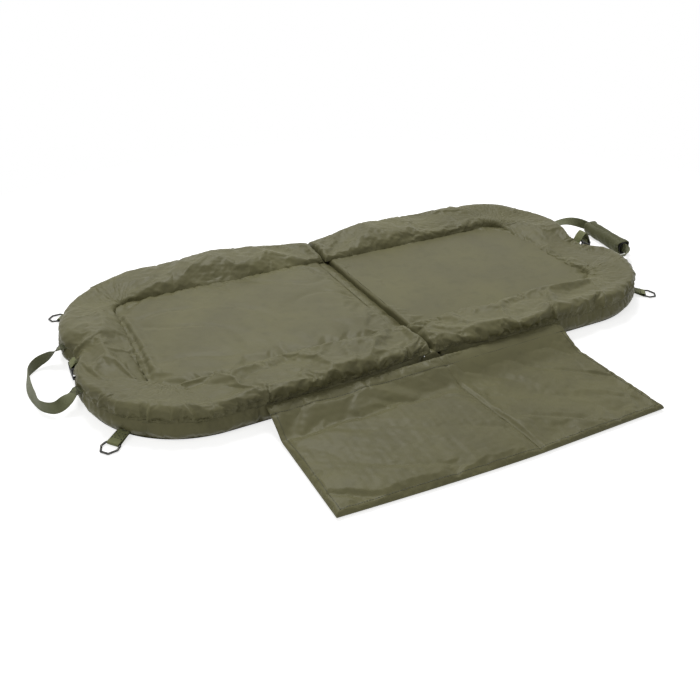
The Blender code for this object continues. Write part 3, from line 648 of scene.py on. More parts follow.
@dataclass
class Settle:
    """Blows up a sheet of cloth that is sewn down at its borders, and keeps how it creased."""

    frames: int = 20
    growth: float = 0.030
    pressure: float = 4.0
    stiffness: float = 15.0
    bending: float = 0.5
    cap: float = 0.012
    quality: int = 5
    mass: float = 0.3

    def run(self, grid: np.ndarray) -> np.ndarray:
        """Simulates the cloth.

        Args:
            grid: its points, with the first and last rows and columns sewn down.

        Returns: The grid, creased, with no point moved further than the cap.
        """
        rows, columns = grid.shape[:2]
        data = bpy.data.meshes.new("settling_cloth")
        data.from_pydata(grid.reshape(-1, 3).tolist(), [], Sewn.quads(rows, columns))
        cloth = add_object("settling_cloth", data)
        scene = bpy.context.scene
        number = np.arange(rows * columns).reshape(rows, columns)
        border = np.concatenate([number[0], number[-1], number[:, 0], number[:, -1]])
        sewn = cloth.vertex_groups.new(name="sewn")
        sewn.add(np.unique(border).tolist(), 1.0, "REPLACE")
        solver = cloth.modifiers.new("settle", "CLOTH")
        settings = solver.settings
        settings.vertex_group_mass = sewn.name
        settings.quality = self.quality
        settings.mass = self.mass
        settings.tension_stiffness = self.stiffness
        settings.compression_stiffness = self.stiffness
        settings.shear_stiffness = self.stiffness / 3
        settings.bending_stiffness = self.bending
        settings.use_pressure = True
        settings.uniform_pressure_force = self.pressure
        settings.shrink_min = -self.growth
        settings.effector_weights.gravity = 0.0
        settings.air_damping = 1.0
        solver.point_cache.frame_start = 1
        solver.point_cache.frame_end = self.frames
        for number_of_frame in range(1, self.frames + 1):
            scene.frame_set(number_of_frame)
        ready = cloth.evaluated_get(bpy.context.evaluated_depsgraph_get())
        moved = np.zeros(rows * columns * 3, np.float32)
        ready.data.vertices.foreach_get("co", moved)
        scene.frame_set(1)
        bpy.data.objects.remove(cloth, do_unlink=True)
        step = moved.reshape(grid.shape) - grid
        far = np.linalg.norm(step, axis=2, keepdims=True)
        return grid + step * np.minimum(1.0, self.cap / np.maximum(far, 1e-9))


@dataclass(frozen=True)
class CoatedCloth:
    """Polyester woven from fine yarn and coated with polyurethane behind.

    The eye sees a dull satin: broad soft highlights on the puffs, and a slightly uneven, worn olive.
    """

    name: str
    colour: str
    worn: str
    deep: str
    roughness: float = 0.45
    thread: float = 0.0011  # drawn four times as coarse as the real yarn, so that it shows close up
    weave: float = 0.05
    gloss: float = 0.20
    sheen: float = 0.03

    def make(self) -> Material:
        """The material."""
        finish, add = new_finish(self.name)
        place = add("ShaderNodeTexCoord")
        cloud = add(
            "ShaderNodeTexNoise", {"Scale": 7.0, "Detail": 5.0, "Roughness": 0.55},
            {"Vector": (place, "Object")},
        )
        shade = add("ShaderNodeMapRange", {"From Min": 0.35, "From Max": 0.68}, {"Value": (cloud, 0)})
        body = add(
            "ShaderNodeMix", {6: linear(self.colour), 7: linear(self.worn)},
            {0: (shade, 0)}, data_type="RGBA",
        )
        grime = add("ShaderNodeTexNoise", {"Scale": 38.0, "Detail": 3.0}, {"Vector": (place, "Object")})
        spots = add(
            "ShaderNodeMapRange", {"From Min": 0.50, "From Max": 0.75, "To Max": 0.35},
            {"Value": (grime, 0)},
        )
        mixed = add(
            "ShaderNodeMix", {7: linear(self.deep)}, {0: (spots, 0), 6: (body, 2)},
            data_type="RGBA",
        )
        gloss = add(
            "ShaderNodeMapRange",
            {"To Min": self.roughness - 0.05, "To Max": self.roughness + 0.07},
            {"Value": (cloud, 0)},
        )
        yarn = [
            add(
                "ShaderNodeTexWave", {"Scale": 1 / (self.thread * 2 * math.pi) * 2},
                {"Vector": (place, "UV")}, bands_direction=way,
            )
            for way in ("X", "Y")
        ]
        cross = add("ShaderNodeMath", links={0: (yarn[0], 1), 1: (yarn[1], 1)}, operation="ADD")
        weave = add(
            "ShaderNodeBump", {"Strength": self.weave, "Distance": 0.0002},
            {"Height": (cross, 0)},
        )
        crinkle = add(
            "ShaderNodeTexNoise", {"Scale": 55.0, "Detail": 6.0, "Roughness": 0.6},
            {"Vector": (place, "Object")},
        )
        bump = add(
            "ShaderNodeBump", {"Strength": 0.35, "Distance": 0.0012},
            {"Height": (crinkle, 0), "Normal": (weave, 0)},
        )
        shader = add(
            "ShaderNodeBsdfPrincipled",
            {
                "IOR": 1.45, "Specular IOR Level": self.gloss, "Sheen Weight": self.sheen,
                "Sheen Roughness": 0.4,
            },
            {"Base Color": (mixed, 2), "Roughness": (gloss, 0), "Normal": (bump, 0)},
        )
        add("ShaderNodeOutputMaterial", links={"Surface": (shader, 0)})
        return finish


@dataclass(frozen=True)
class WovenWebbing:
    """Polypropylene webbing, woven with ribs across and a flat selvedge: matt, with a faint shine."""

    name: str
    colour: str
    deep: str
    rib: float = 0.0019
    roughness: float = 0.68

    def make(self) -> Material:
        """The material."""
        finish, add = new_finish(self.name)
        place = add("ShaderNodeTexCoord")
        ribs = add(
            "ShaderNodeTexWave", {"Scale": 1 / (self.rib * 2 * math.pi) * 2, "Distortion": 0.4},
            {"Vector": (place, "UV")}, bands_direction="X",
        )
        yarn = add(
            "ShaderNodeTexWave", {"Scale": 1 / (self.rib * 0.7 * 2 * math.pi) * 2},
            {"Vector": (place, "UV")}, bands_direction="Y",
        )
        both = add("ShaderNodeMath", links={0: (ribs, 1), 1: (yarn, 1)}, operation="MULTIPLY")
        cloud = add("ShaderNodeTexNoise", {"Scale": 60.0, "Detail": 4.0}, {"Vector": (place, "Object")})
        shade = add("ShaderNodeMath", {1: 0.55}, {0: (cloud, 0), 2: (both, 0)}, operation="MULTIPLY_ADD")
        ramp = add("ShaderNodeMapRange", {"From Min": 0.2, "From Max": 1.1}, {"Value": (shade, 0)})
        mixed = add(
            "ShaderNodeMix", {6: linear(self.deep), 7: linear(self.colour)},
            {0: (ramp, 0)}, data_type="RGBA",
        )
        bump = add("ShaderNodeBump", {"Strength": 0.5, "Distance": 0.0004}, {"Height": (both, 0)})
        shader = add(
            "ShaderNodeBsdfPrincipled",
            {"IOR": 1.49, "Roughness": self.roughness, "Sheen Weight": 0.15},
            {"Base Color": (mixed, 2), "Normal": (bump, 0)},
        )
        add("ShaderNodeOutputMaterial", links={"Surface": (shader, 0)})
        return finish


@dataclass(frozen=True)
class Grained:
    """A plain material with a fine grain: moulded plastic, blackened steel, foam, or hook and loop."""

    name: str
    colour: str
    other: str
    roughness: float
    metallic: float
    grain: float
    relief: float
    ior: float = 1.5

    def make(self) -> Material:
        """The material."""
        finish, add = new_finish(self.name)
        place = add("ShaderNodeTexCoord")
        grit = add(
            "ShaderNodeTexNoise", {"Scale": 1 / self.grain, "Detail": 4.0},
            {"Vector": (place, "Object")},
        )
        ramp = add("ShaderNodeMapRange", {"From Min": 0.35, "From Max": 0.65}, {"Value": (grit, 0)})
        mixed = add(
            "ShaderNodeMix", {6: linear(self.colour), 7: linear(self.other)},
            {0: (ramp, 0)}, data_type="RGBA",
        )
        gloss = add(
            "ShaderNodeMapRange",
            {"To Min": self.roughness - 0.06, "To Max": self.roughness + 0.06}, {"Value": (grit, 0)},
        )
        bump = add("ShaderNodeBump", {"Strength": 0.4, "Distance": self.relief}, {"Height": (grit, 0)})
        shader = add(
            "ShaderNodeBsdfPrincipled", {"IOR": self.ior, "Metallic": self.metallic},
            {"Base Color": (mixed, 2), "Roughness": (gloss, 0), "Normal": (bump, 0)},
        )
        add("ShaderNodeOutputMaterial", links={"Surface": (shader, 0)})
        return finish


@dataclass
class Finishes:
    """Every finish of the mat, made once."""

    cloth: Material = field(init=False)
    base: Material = field(init=False)
    tab: Material = field(init=False)
    strap: Material = field(init=False)
    wrap: Material = field(init=False)
    thread: Material = field(init=False)
    foam: Material = field(init=False)
    hook: Material = field(init=False)
    steel: Material = field(init=False)
    acetal: Material = field(init=False)

    def __post_init__(self) -> None:
        """Makes the materials."""
        self.cloth = CoatedCloth("coated_polyester", "6a674a", "747150", "5c5a40").make()
        self.base = CoatedCloth(
            "vinyl_coated_polyester", "4e4d38", "55533e", "3f3e2d", roughness=0.42
        ).make()
        self.tab = WovenWebbing("polypropylene_webbing", "8d9160", "6b6f45").make()
        self.strap = WovenWebbing("polypropylene_strap_webbing", "7c7f58", "5e6141").make()
        self.wrap = CoatedCloth(
            "coated_wrap_polyester", "5b5c41", "626347", "4c4d37", roughness=0.55
        ).make()
        self.thread = Grained(
            "bonded_nylon_thread", "4a4a35", "3a3a2a", 0.5, 0.0, 0.0009, 0.0001, ior=1.53
        ).make()
        self.foam = Grained(
            "closed_cell_foam", "8f8f86", "7c7c74", 0.85, 0.0, 0.0030, 0.0004
        ).make()
        self.hook = Grained(
            "hook_and_loop_tape", "0b0b0b", "1c1c1b", 0.9, 0.0, 0.0012, 0.0008
        ).make()
        self.steel = Grained(
            "blackened_steel_wire", "3b3c3c", "55544f", 0.34, 1.0, 0.0040, 0.0001
        ).make()
        self.acetal = Grained(
            "moulded_acetal", "111110", "1a1a19", 0.42, 0.0, 0.0006, 0.00005, ior=1.48
        ).make()


@dataclass(frozen=True)
class Softbox:
    """A square lamp, with its place from the fold and its power as a share of the studio's lamp."""

    name: str
    place: tuple[float, float, float]
    side: float
    power: float


@dataclass
class Studio:
    """The pale floor, the soft light and the camera at the photograph's viewing angle."""

    origin: Vector
    azimuth: float = -27.6
    elevation: float = 30.9
    focal_pixels: float = 771.0
    distance: float = 1.614
    target: tuple[float, float] = (-0.113, -0.161)
    floor_side: float = 14.0
    floor_drop: float = 0.0006
    sky: float = 0.24
    lamp_watts: float = 14.0
    floor_white: float = 0.70
    white_from: float = 0.95
    white_over: float = 0.55
    floor_grey: float = 0.8
    softboxes: tuple[Softbox, ...] = (
        Softbox("back_softbox", (0.5, 2.4, 4.3), 1.8, 9.2),
        Softbox("front_softbox", (-2.2, -1.4, 2.6), 2.0, 1.3),
    )

    def build(self) -> None:
        """Makes the camera, the floor, the lamps and the world."""
        self.camera()
        self.floor()
        self.lamps()
        self.world()

    def camera(self) -> None:
        """Puts the camera where the photograph was taken from."""
        turn, rise = math.radians(self.azimuth), math.radians(self.elevation)
        back = Vector((math.sin(turn) * math.cos(rise), -math.cos(turn) * math.cos(rise), math.sin(rise)))
        data = bpy.data.cameras.new("photo_camera")
        data.sensor_width = SENSOR
        data.lens = self.focal_pixels * SENSOR / PHOTO_SIDE
        data.clip_start, data.clip_end = 0.05, 60.0
        camera = add_object("photo_camera", data)
        camera.location = self.origin + Vector((*self.target, 0)) + back * self.distance
        camera.rotation_mode = "QUATERNION"
        camera.rotation_quaternion = (-back).to_track_quat("-Z", "Y")
        bpy.context.scene.camera = camera

    def floor(self) -> None:
        """Lays a white floor that keeps the shadow of the mat."""
        side = self.floor_side / 2
        data = bpy.data.meshes.new("floor")
        corners = [(-side, -side), (side, -side), (side, side), (-side, side)]
        data.from_pydata([(x, y, -self.floor_drop) for x, y in corners], [], [(0, 1, 2, 3)])
        floor = add_object("floor", data)
        paper, add = new_finish("white_paper")
        seen = self.seen_directly(add)
        matt = add("ShaderNodeBsdfDiffuse", {"Color": (*[self.floor_grey] * 3, 1)})
        glow = add("ShaderNodeEmission", {"Strength": self.floor_white})
        near = add("ShaderNodeAddShader", links={0: (matt, 0), 1: (glow, 0)})
        place = add("ShaderNodeTexCoord")
        far = add("ShaderNodeVectorMath", links={0: (place, "Object")}, operation="LENGTH")
        share = add(
            "ShaderNodeMapRange",
            {"From Min": self.white_from, "From Max": self.white_from + self.white_over},
            {"Value": (far, "Value")},
        )
        white = add("ShaderNodeEmission", {"Strength": 1.0})
        lit = add("ShaderNodeMixShader", links={0: (share, 0), 1: (near, 0), 2: (white, 0)})
        mixed = add("ShaderNodeMixShader", links={0: (seen, 0), 1: (matt, 0), 2: (lit, 0)})
        add("ShaderNodeOutputMaterial", links={"Surface": (mixed, 0)})
        data.materials.append(paper)

    @staticmethod
    def seen_directly(add: partial) -> bpy.types.Node:
        """One where a camera, glossy or transmission ray looks, for a background that stays white."""
        path = add("ShaderNodeLightPath")
        gloss = add(
            "ShaderNodeMath", operation="MAXIMUM",
            links={0: (path, "Is Camera Ray"), 1: (path, "Is Glossy Ray")},
        )
        return add(
            "ShaderNodeMath", operation="MAXIMUM",
            links={0: (gloss, 0), 1: (path, "Is Transmission Ray")},
        )

    def lamps(self) -> None:
        """Hangs a large soft lamp behind the mat to the right, and a weak one at the front left."""
        for box in self.softboxes:
            data = bpy.data.lights.new(box.name, "AREA")
            data.shape = "SQUARE"
            data.size = box.side
            data.energy = self.lamp_watts * box.power
            lamp = add_object(box.name, data)
            lamp.location = self.origin + Vector(box.place)
            lamp.rotation_mode = "QUATERNION"
            lamp.rotation_quaternion = Vector(box.place).to_track_quat("Z", "Y")

    def world(self) -> None:
        """Lights the mat evenly from all round, before a white background."""
        world = bpy.data.worlds.new("white_studio")
        world.use_nodes = True
        world.node_tree.nodes.clear()
        add = partial(add_node, world.node_tree)
        seen = self.seen_directly(add)
        light = add("ShaderNodeBackground", {"Color": (1, 1, 1, 1), "Strength": self.sky})
        white = add("ShaderNodeBackground", {"Color": (1, 1, 1, 1), "Strength": 1.0})
        mixed = add("ShaderNodeMixShader", links={0: (seen, 0), 1: (light, 0), 2: (white, 0)})
        add("ShaderNodeOutputWorld", links={"Surface": (mixed, 0)})
        bpy.context.scene.world = world
        bpy.context.scene.view_settings.view_transform = "Standard"


@dataclass
class HalfPart:
    """A part that both halves have, with the seeds of the left and the right one's unevenness."""

    plan: MatPlan
    sewn: Sewn
    half: Half
    finishes: Finishes
    seeds: ClassVar[tuple[int, int]] = (0, 0)

    @property
    def label(self) -> str:
        """The word that the names of its pieces start with."""
        return self.half.label

    @property
    def seed(self) -> int:
        """Seed of this one's unevenness."""
        return self.seeds[0 if self.half is Half.LEFT else 1]

    def tie(self, piece: Piece, slot: str, *nodes: str) -> None:
        """Puts a piece on its half, in place of the half's own solids."""
        tie(piece, self.half.body, slot, *(f"{self.label}_{node}" for node in nodes))


@dataclass
class PaddedRim(HalfPart):
    """The soft rim round one half: a slack padded tube, tucked at its seams and then blown up."""

    seeds: ClassVar[tuple[int, int]] = (11, 29)
    steps: tuple[int, int, int] = (114, 99, 30)
    across: int = 45
    fullness: float = 0.80
    overhang: float = 0.002
    bulge: float = 0.0055
    end_round: float = 0.018
    end_power: float = 2.6
    start: float = 0.0015
    sewn_down: float = 0.0024
    under_rows: int = 3
    folded_share: float = 0.165
    end_place: float = 0.873  # of the middle of the end, round the rim
    end_span: float = 0.130  # where the straps lean on the rim, so that it bulges out less
    groove: float = 0.0048  # how far the seam is drawn in between the rim and the band
    groove_width: float = 0.0055
    calm_until: float = 0.80  # the back of the rim, round to the end, is smoother than the front
    calm_share: float = 0.50
    calm_passes: int = 60
    calm_fade: float = 0.15
    calm_inwards: float = 1.6
    least_packed: float = 0.2
    before_settling: float = 0.93  # of its height, because the rim swells when it is blown up
    first_pleat: float = 0.010
    pleat_spacing: float = 0.020
    pleat_depth: tuple[float, float] = (0.0050, 0.0085)  # the least, and what the deepest adds
    pleat_width: tuple[float, float] = (0.0036, 0.0062)
    pleat_reach: tuple[float, float] = (0.022, 0.054)
    pleat_lean: float = 0.4
    calm_depth: float = 0.60
    calm_spacing: float = 0.9
    inner_wider: float = 1.6
    tuck_fade: float = 0.008  # from a seam, over which the tucks start
    crease_fade: float = 0.004
    sharp_share: tuple[float, float] = (0.7, 1.3)  # along the back, and what the front adds
    end_held: float = 0.75
    band_from: float = 0.004
    band_over: float = 0.02
    fold_bulge: float = 0.0008
    sewn_down_over: float = 0.006
    above_crest: float = 0.004
    from_fold: float = 0.0004

    @property
    def large_tucks(self) -> list[Tuck]:
        """The tucks that show from afar, each at its distance round the rim."""
        if self.half is Half.LEFT:
            return [
                Tuck(0.880, 0.026, 0.0085, 0.085, -0.45),
                Tuck(1.070, 0.017, 0.0060, 0.060, 0.15),
                Tuck(1.176, 0.020, 0.0050, 0.056, 0.05),
                Tuck(1.260, 0.011, 0.0070, 0.050, -0.20),
                Tuck(1.387, 0.018, 0.0055, 0.062, 0.30),
                Tuck(0.560, 0.016, 0.0060, 0.055, -0.30),
                Tuck(0.700, 0.012, 0.0060, 0.050, 0.20),
            ]
        return [
            Tuck(1.458, 0.015, 0.0060, 0.055, 0.30),
            Tuck(1.332, 0.012, 0.0055, 0.050, 0.00),
            Tuck(0.443, 0.028, 0.0062, 0.080, -0.10),
            Tuck(0.640, 0.014, 0.0060, 0.050, 0.20),
            Tuck(0.890, 0.012, 0.0060, 0.045, -0.20),
            Tuck(1.210, 0.010, 0.0060, 0.050, 0.25),
        ]

    @property
    def inner_tucks(self) -> list[Tuck]:
        """The deep tucks at the corners of the panel, by their distance round the rim."""
        if self.half is Half.LEFT:
            return [
                Tuck(0.640, 0.010, 0.0060, 0.055, 0.20),
                Tuck(1.100, 0.010, 0.0060, 0.060, -0.20),
                Tuck(1.225, 0.007, 0.0060, 0.050, 0.10),
            ]
        return [
            Tuck(0.530, 0.012, 0.0060, 0.060, 0.15),
            Tuck(0.600, 0.010, 0.0060, 0.060, -0.10),
            Tuck(1.130, 0.014, 0.0070, 0.075, -0.35),
        ]

    def pleats(self, length: float) -> list[Tuck]:
        """The small tucks that gather the cloth along its outer seam."""
        rng = np.random.default_rng(self.seed)
        made = []
        place = self.first_pleat
        least, more = self.pleat_depth
        while place < length:
            strong = rng.uniform() ** 1.5
            calm = 1 - float(self.front(place))
            made.append(
                Tuck(
                    place=place,
                    depth=(least + more * strong) * (1 - self.calm_depth * calm),
                    width=rng.uniform(*self.pleat_width),
                    reach=rng.uniform(*self.pleat_reach),
                    lean=rng.uniform(-self.pleat_lean, self.pleat_lean),
                )
            )
            place += self.pleat_spacing * rng.uniform(0.5, 1.6) * (1 + self.calm_spacing * calm)
        return made

    def base_grid(self) -> np.ndarray:
        """The smooth tube before it is tucked, from the outer seam to the inner crease."""
        plan = self.plan
        outer = plan.round_path(self.start, self.steps, inner=False)
        inner = plan.round_path(self.start, self.steps, inner=True)
        turn = np.linspace(0, math.pi, self.across + 1)
        away = np.minimum((outer[:, 0] + inner[:, 0]) / 2 - self.start, self.end_round)
        closing = (1 - (1 - away / self.end_round) ** self.end_power) ** (1 / self.end_power)
        top = plan.crest - plan.seam - plan.fold_drop * (1 - ease(outer[:, 0] / plan.fold_reach))
        around = arc_lengths(outer)
        uneven = 1 + Waves(self.seed + 3, 0.09, 0.40, height=0.09)(around, 0 * around)
        height = top * closing * uneven * self.before_settling
        plan_way = unit(outer - inner)
        drawn = np.zeros_like(around)
        for hollow in HOLLOWS[self.half]:
            strength = hollow.share(around)
            height = height * (1 - hollow.sag * strength)
            outer = outer - plan_way * (hollow.inset * strength)[:, None]
            drawn = np.maximum(drawn, strength)
        share = (1 - np.cos(turn)) / 2
        lip = self.overhang * np.sin(np.minimum(2 * turn, math.pi))
        flat = outer[:, None] + (inner - outer)[:, None] * share[None, :, None]
        flat = flat + plan_way[:, None] * (lip[None, :] * (closing * (1 - drawn))[:, None])[..., None]
        z = plan.seam + plan.clearance + height[:, None] * np.sin(turn)[None] ** self.fullness
        return np.concatenate([flat, z[..., None]], axis=2)

    def front(self, around: np.ndarray) -> np.ndarray:
        """Nought along the calm back of the rim and one along its front, by distance round it."""
        return ease((around - self.calm_until) / self.calm_fade)

    def calmed(self, smooth: np.ndarray, grid: np.ndarray) -> np.ndarray:
        """The settled tube, with shallower wrinkles along the back, where the cloth is stretched.

        Args:
            smooth: the tube before it was tucked.
            grid: the settled tube.

        Returns:
            The calmer tube.
        """
        step = grid - smooth
        broad = smoothed(step, self.calm_passes)
        along = arc_lengths(smooth[:, 0])[:, None]
        kept = self.calm_share + (1 - self.calm_share) * self.front(along)
        inwards = ease(np.linspace(0, self.calm_inwards, smooth.shape[1]))[None]
        kept = kept * (1 - (1 - self.packed(along, smooth)) * inwards)
        return smooth + broad + (step - broad) * kept[..., None]

    def packed(self, along: np.ndarray, grid: np.ndarray) -> np.ndarray:
        """How much closer together the rows are at the inner crease than at the outer seam."""
        inner = np.gradient(arc_lengths(grid[:, -1]))
        return np.clip(inner / np.gradient(along[:, 0]), self.least_packed, 1.0)[:, None]

    @staticmethod
    def distances(grid: np.ndarray) -> tuple[np.ndarray, np.ndarray, np.ndarray, np.ndarray]:
        """Distances over the cloth of a grid.

        Args:
            grid: rows of points from the outer seam to the inner crease.

        Returns:
            Along the seam, along the crease stretched to the seam's length, from the seam and from
            the crease.
        """
        along = arc_lengths(grid[:, 0])[:, None]
        crease = arc_lengths(grid[:, -1])[:, None]
        crease = crease * (along[-1, 0] / crease[-1, 0])
        spans = np.linalg.norm(np.diff(grid, axis=1), axis=2)
        across = np.concatenate([np.zeros((len(grid), 1)), np.cumsum(spans, axis=1)], axis=1)
        return along, crease, across, across[:, -1:] - across

    def tucked(self, grid: np.ndarray) -> np.ndarray:
        """The tube with every tuck sewn in, before it is blown up."""
        along, crease, across, rest = self.distances(grid)
        length = float(along[-1, 0])
        small = gathers(
            self.seed + 1, length, spacing=0.044, depth=(0.0012, 0.0046), reach=(0.014, 0.040)
        )
        inner = widened(small, self.inner_wider)
        sink = total_sink(self.large_tucks + self.pleats(length), along, across)
        sink = sink + total_sink(inner, crease, rest) * self.packed(along, grid)
        sink = sink + total_sink(self.inner_tucks, crease, rest)
        edge = np.minimum(ease(across / self.tuck_fade), ease(rest / self.tuck_fade))
        return grid - grid_normals(grid) * (sink * edge)[..., None]

    def held_in(self, grid: np.ndarray, seam: np.ndarray, outward: np.ndarray) -> np.ndarray:
        """The settled tube, with its bulge over the outer seam held back.

        Args:
            grid: the settled tube.
            seam: the points of its outer seam before it settled.
            outward: the plan direction away from the mat at each.

        Returns:
            The tube with no point much further out than its seam.
        """
        away = np.einsum("ijk,ik->ij", grid[..., :2] - seam[:, None, :2], outward)
        along = arc_lengths(seam)
        uneven = 1 + Waves(self.seed + 9, 0.05, 0.16, height=0.5)(along, 0 * along)
        at_end = np.exp(-(((along - self.end_place) / self.end_span) ** 2))
        most = (self.bulge * uneven * (1 - self.end_held * at_end))[:, None]
        kept = np.where(away > 0, most * np.tanh(np.maximum(away, 0) / most), away)
        grid = grid.copy()
        grid[..., :2] += (kept - away)[..., None] * outward[:, None]
        return grid

    def sharpened(self, grid: np.ndarray) -> np.ndarray:
        """The settled tube, made finer, with small sharp creases along both its seams."""
        grid = doubled(grid)
        along, crease, across, rest = self.distances(grid)
        length = float(along[-1, 0])
        fine = gathers(self.seed + 5, length, spacing=0.015, depth=(0.0008, 0.0034), reach=(0.010, 0.032))
        near = gathers(self.seed + 6, length, spacing=0.018, depth=(0.0005, 0.0022), reach=(0.008, 0.026))
        back, more = self.sharp_share
        sink = total_sink(fine, along, across) * (back + more * self.front(along))
        sink = sink + total_sink(near, crease, rest) * self.packed(along, grid)
        ripple = Waves(self.seed + 7, 0.010, 0.034, count=30, height=0.0007)(along, across)
        edge = np.minimum(ease(across / self.crease_fade), ease(rest / self.crease_fade))
        return grid + grid_normals(grid) * ((ripple - sink) * edge)[..., None]

    def build(self) -> None:
        """Makes the rim and ties it to its half."""
        smooth = self.base_grid()
        outward = unit(smooth[:, 0, :2] - smooth[:, -1, :2])
        grid = self.tucked(smooth)
        grid = Settle(frames=24, growth=0.036, bending=2.2, cap=0.016).run(grid)
        grid = self.held_in(self.calmed(smooth, grid), smooth[:, 0], outward)
        over = self.distances(grid)[2]
        banded = ease((smooth[:, :1, 0] - self.plan.half_gap - self.band_from) / self.band_over)
        pulled = self.groove * banded - self.fold_bulge * (1 - banded)
        pulled = pulled * np.exp(-((over / self.groove_width) ** 2))
        grid[..., :2] -= pulled[..., None] * outward[:, None]
        grid = self.sharpened(grid)
        across, rest = self.distances(grid)[2:]
        near_seams = np.exp(-across / self.sewn_down_over) + np.exp(-rest / self.sewn_down_over)
        grid[..., 2] -= self.sewn_down * near_seams
        low = self.plan.seam - self.sewn_down
        grid[..., 2] = np.clip(grid[..., 2], low, self.plan.crest + self.above_crest)
        grid[..., 0] = np.maximum(grid[..., 0], self.from_fold)
        share = np.linspace(1, 0, self.under_rows + 2)[1:-1]
        seam, crease = grid[:, :1], grid[:, -1:]
        under = seam + (crease - seam) * share[None, :, None]
        under[..., 2] = low
        section = np.concatenate([grid, under], axis=1) * (self.half.value, 1, 1)
        rim = self.sewn.tube(f"{self.label}_padded_rim", section, self.finishes.cloth)
        self.tie(rim, "mat_cloth", "rim_cover", "rim_foam")
        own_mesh(rim)


@dataclass
class BedPanel(HalfPart):
    """The cloth that the fish lies on, with its edge rounded down into the fold."""

    seeds: ClassVar[tuple[int, int]] = (41, 57)
    strip_level: float
    columns: int = 96
    rows: int = 76
    tuck_under: float = 0.010
    crown: float = 0.0040
    roll: float = 0.0075
    over_fold: float = 0.0055
    lip_place: float = 0.013  # from the rim's crease, on the left half's end
    lip_height: float = 0.0050
    slit_depth: float = 0.0045
    lip_width: float = 0.010
    slit_width: float = 0.0026
    slit_beside: float = 0.008  # from the lip to the slit
    slit_half: float = 0.10
    slit_fade: float = 0.06
    slit_bow: float = 0.05
    slit_middle: float = 0.02
    slit_long: float = 0.15
    under_roll: float = 0.0006
    roll_steps: int = 6
    least_drop: float = 0.002  # under the rolled edge, for rows of its own
    drop_shares: tuple[float, ...] = (0.35, 0.7, 1.0)
    slack: float = 1.06
    crown_over: float = 0.11
    fold_fade: float = 0.05
    waves_over: float = 0.03
    ridge_depth: float = 0.0022
    ridge_share: float = 0.35
    pleat_wider: float = 1.8
    pleat_fade: float = 0.006
    above_seam: float = 0.0002
    deepest: float = 0.0010  # below the seam

    def build(self) -> None:
        """Makes the panel and ties it to its half."""
        plan = self.plan
        reach = plan.half_length - plan.rim_width + self.tuck_under
        wide = plan.half_width - plan.rim_width + self.tuck_under
        start = plan.half_gap - self.over_fold + self.roll
        x = np.linspace(reach, start, self.columns)
        y = np.linspace(-wide, wide, self.rows)
        gx, gy = np.meshgrid(x, y, indexing="ij")
        inset = np.minimum(np.minimum(reach - gx, wide - np.abs(gy)), 1.0)
        dome = self.crown * ease(inset / self.crown_over) * ease((gx - start) / self.fold_fade)
        slow = Waves(self.seed, 0.12, 0.40, height=0.0024)(gx, gy)
        sharp = np.abs(Waves(self.seed + 2, 0.10, 0.26, count=12, heading=2.2, spread=1.0)(gx, gy))
        sharp = self.ridge_depth * (np.minimum(sharp, self.ridge_share) / self.ridge_share - 1)
        z = plan.seam + self.above_seam + dome + (slow + sharp) * ease(inset / self.waves_over)
        for line, off, extra in ((gy + wide, reach - gx, 0), (gx, wide - gy, 7), (gx, wide + gy, 13)):
            pleats = gathers(
                self.seed + 3 + extra, max(2 * wide, reach), spacing=0.030, depth=(0.001, 0.004),
                reach=(0.02, 0.06),
            )
            wider = widened(pleats, self.pleat_wider)
            z = z - total_sink(wider, line, off) * ease(off / self.pleat_fade)
        grid = np.stack([gx * self.half.value, gy, z], axis=-1)
        settle = Settle(frames=20, growth=0.014, pressure=1.5, bending=2.0, cap=0.007)
        grid = doubled(settle.run(grid))
        off = reach - np.abs(grid[..., 0]) - self.tuck_under
        if self.half is Half.LEFT:
            grid[..., 2] += self.slit(off, grid[..., 1])
        crinkles = Waves(self.seed + 1, 0.014, 0.060, count=26, heading=0.7, spread=0.8, height=0.0004)
        fine = crinkles(grid[..., 0], grid[..., 1])
        grid[..., 2] = np.maximum(grid[..., 2] + fine, plan.seam - self.deepest)
        grid = np.concatenate([grid, self.fold_edge(grid)], axis=0)
        panel = self.sewn.sheet(f"{self.label}_bed_panel", grid, self.finishes.cloth)
        self.tie(panel, "mat_cloth", "top_panel")
        f"{self.label}_foam_core"

    def slit(self, off: np.ndarray, y: np.ndarray) -> np.ndarray:
        """The long crease beside the rim at the left end, with the cloth raised next to it."""
        place = self.lip_place - self.slit_bow * (y - self.slit_middle) ** 2 / self.slit_long
        lip = self.lip_height * np.exp(-(((off - place) / self.lip_width) ** 2))
        sunk = self.slit_depth * np.exp(-np.abs(off - place + self.slit_beside) / self.slit_width)
        return (lip - sunk) * (1 - ease((np.abs(y) - self.slit_half) / self.slit_fade))

    def fold_edge(self, grid: np.ndarray) -> np.ndarray:
        """The rows that round the panel's edge down to the level of the fold strip."""
        plan = self.plan
        rows = []
        edge = grid[-1]
        for turn in np.linspace(0, math.pi / 2, self.roll_steps + 1)[1:]:
            row = edge.copy()
            row[:, 0] -= self.half.value * (self.roll - self.under_roll) * math.sin(turn)
            row[:, 2] -= self.roll * (1 - math.cos(turn))
            rows.append(row)
        bottom = edge[:, 2] - self.roll
        drop = np.maximum(bottom - self.strip_level, 0.0)
        if drop.max() > self.least_drop:
            for share in self.drop_shares:
                row = rows[-1].copy()
                row[:, 2] = bottom - drop * share
                rows.append(row)
        return np.array(rows)


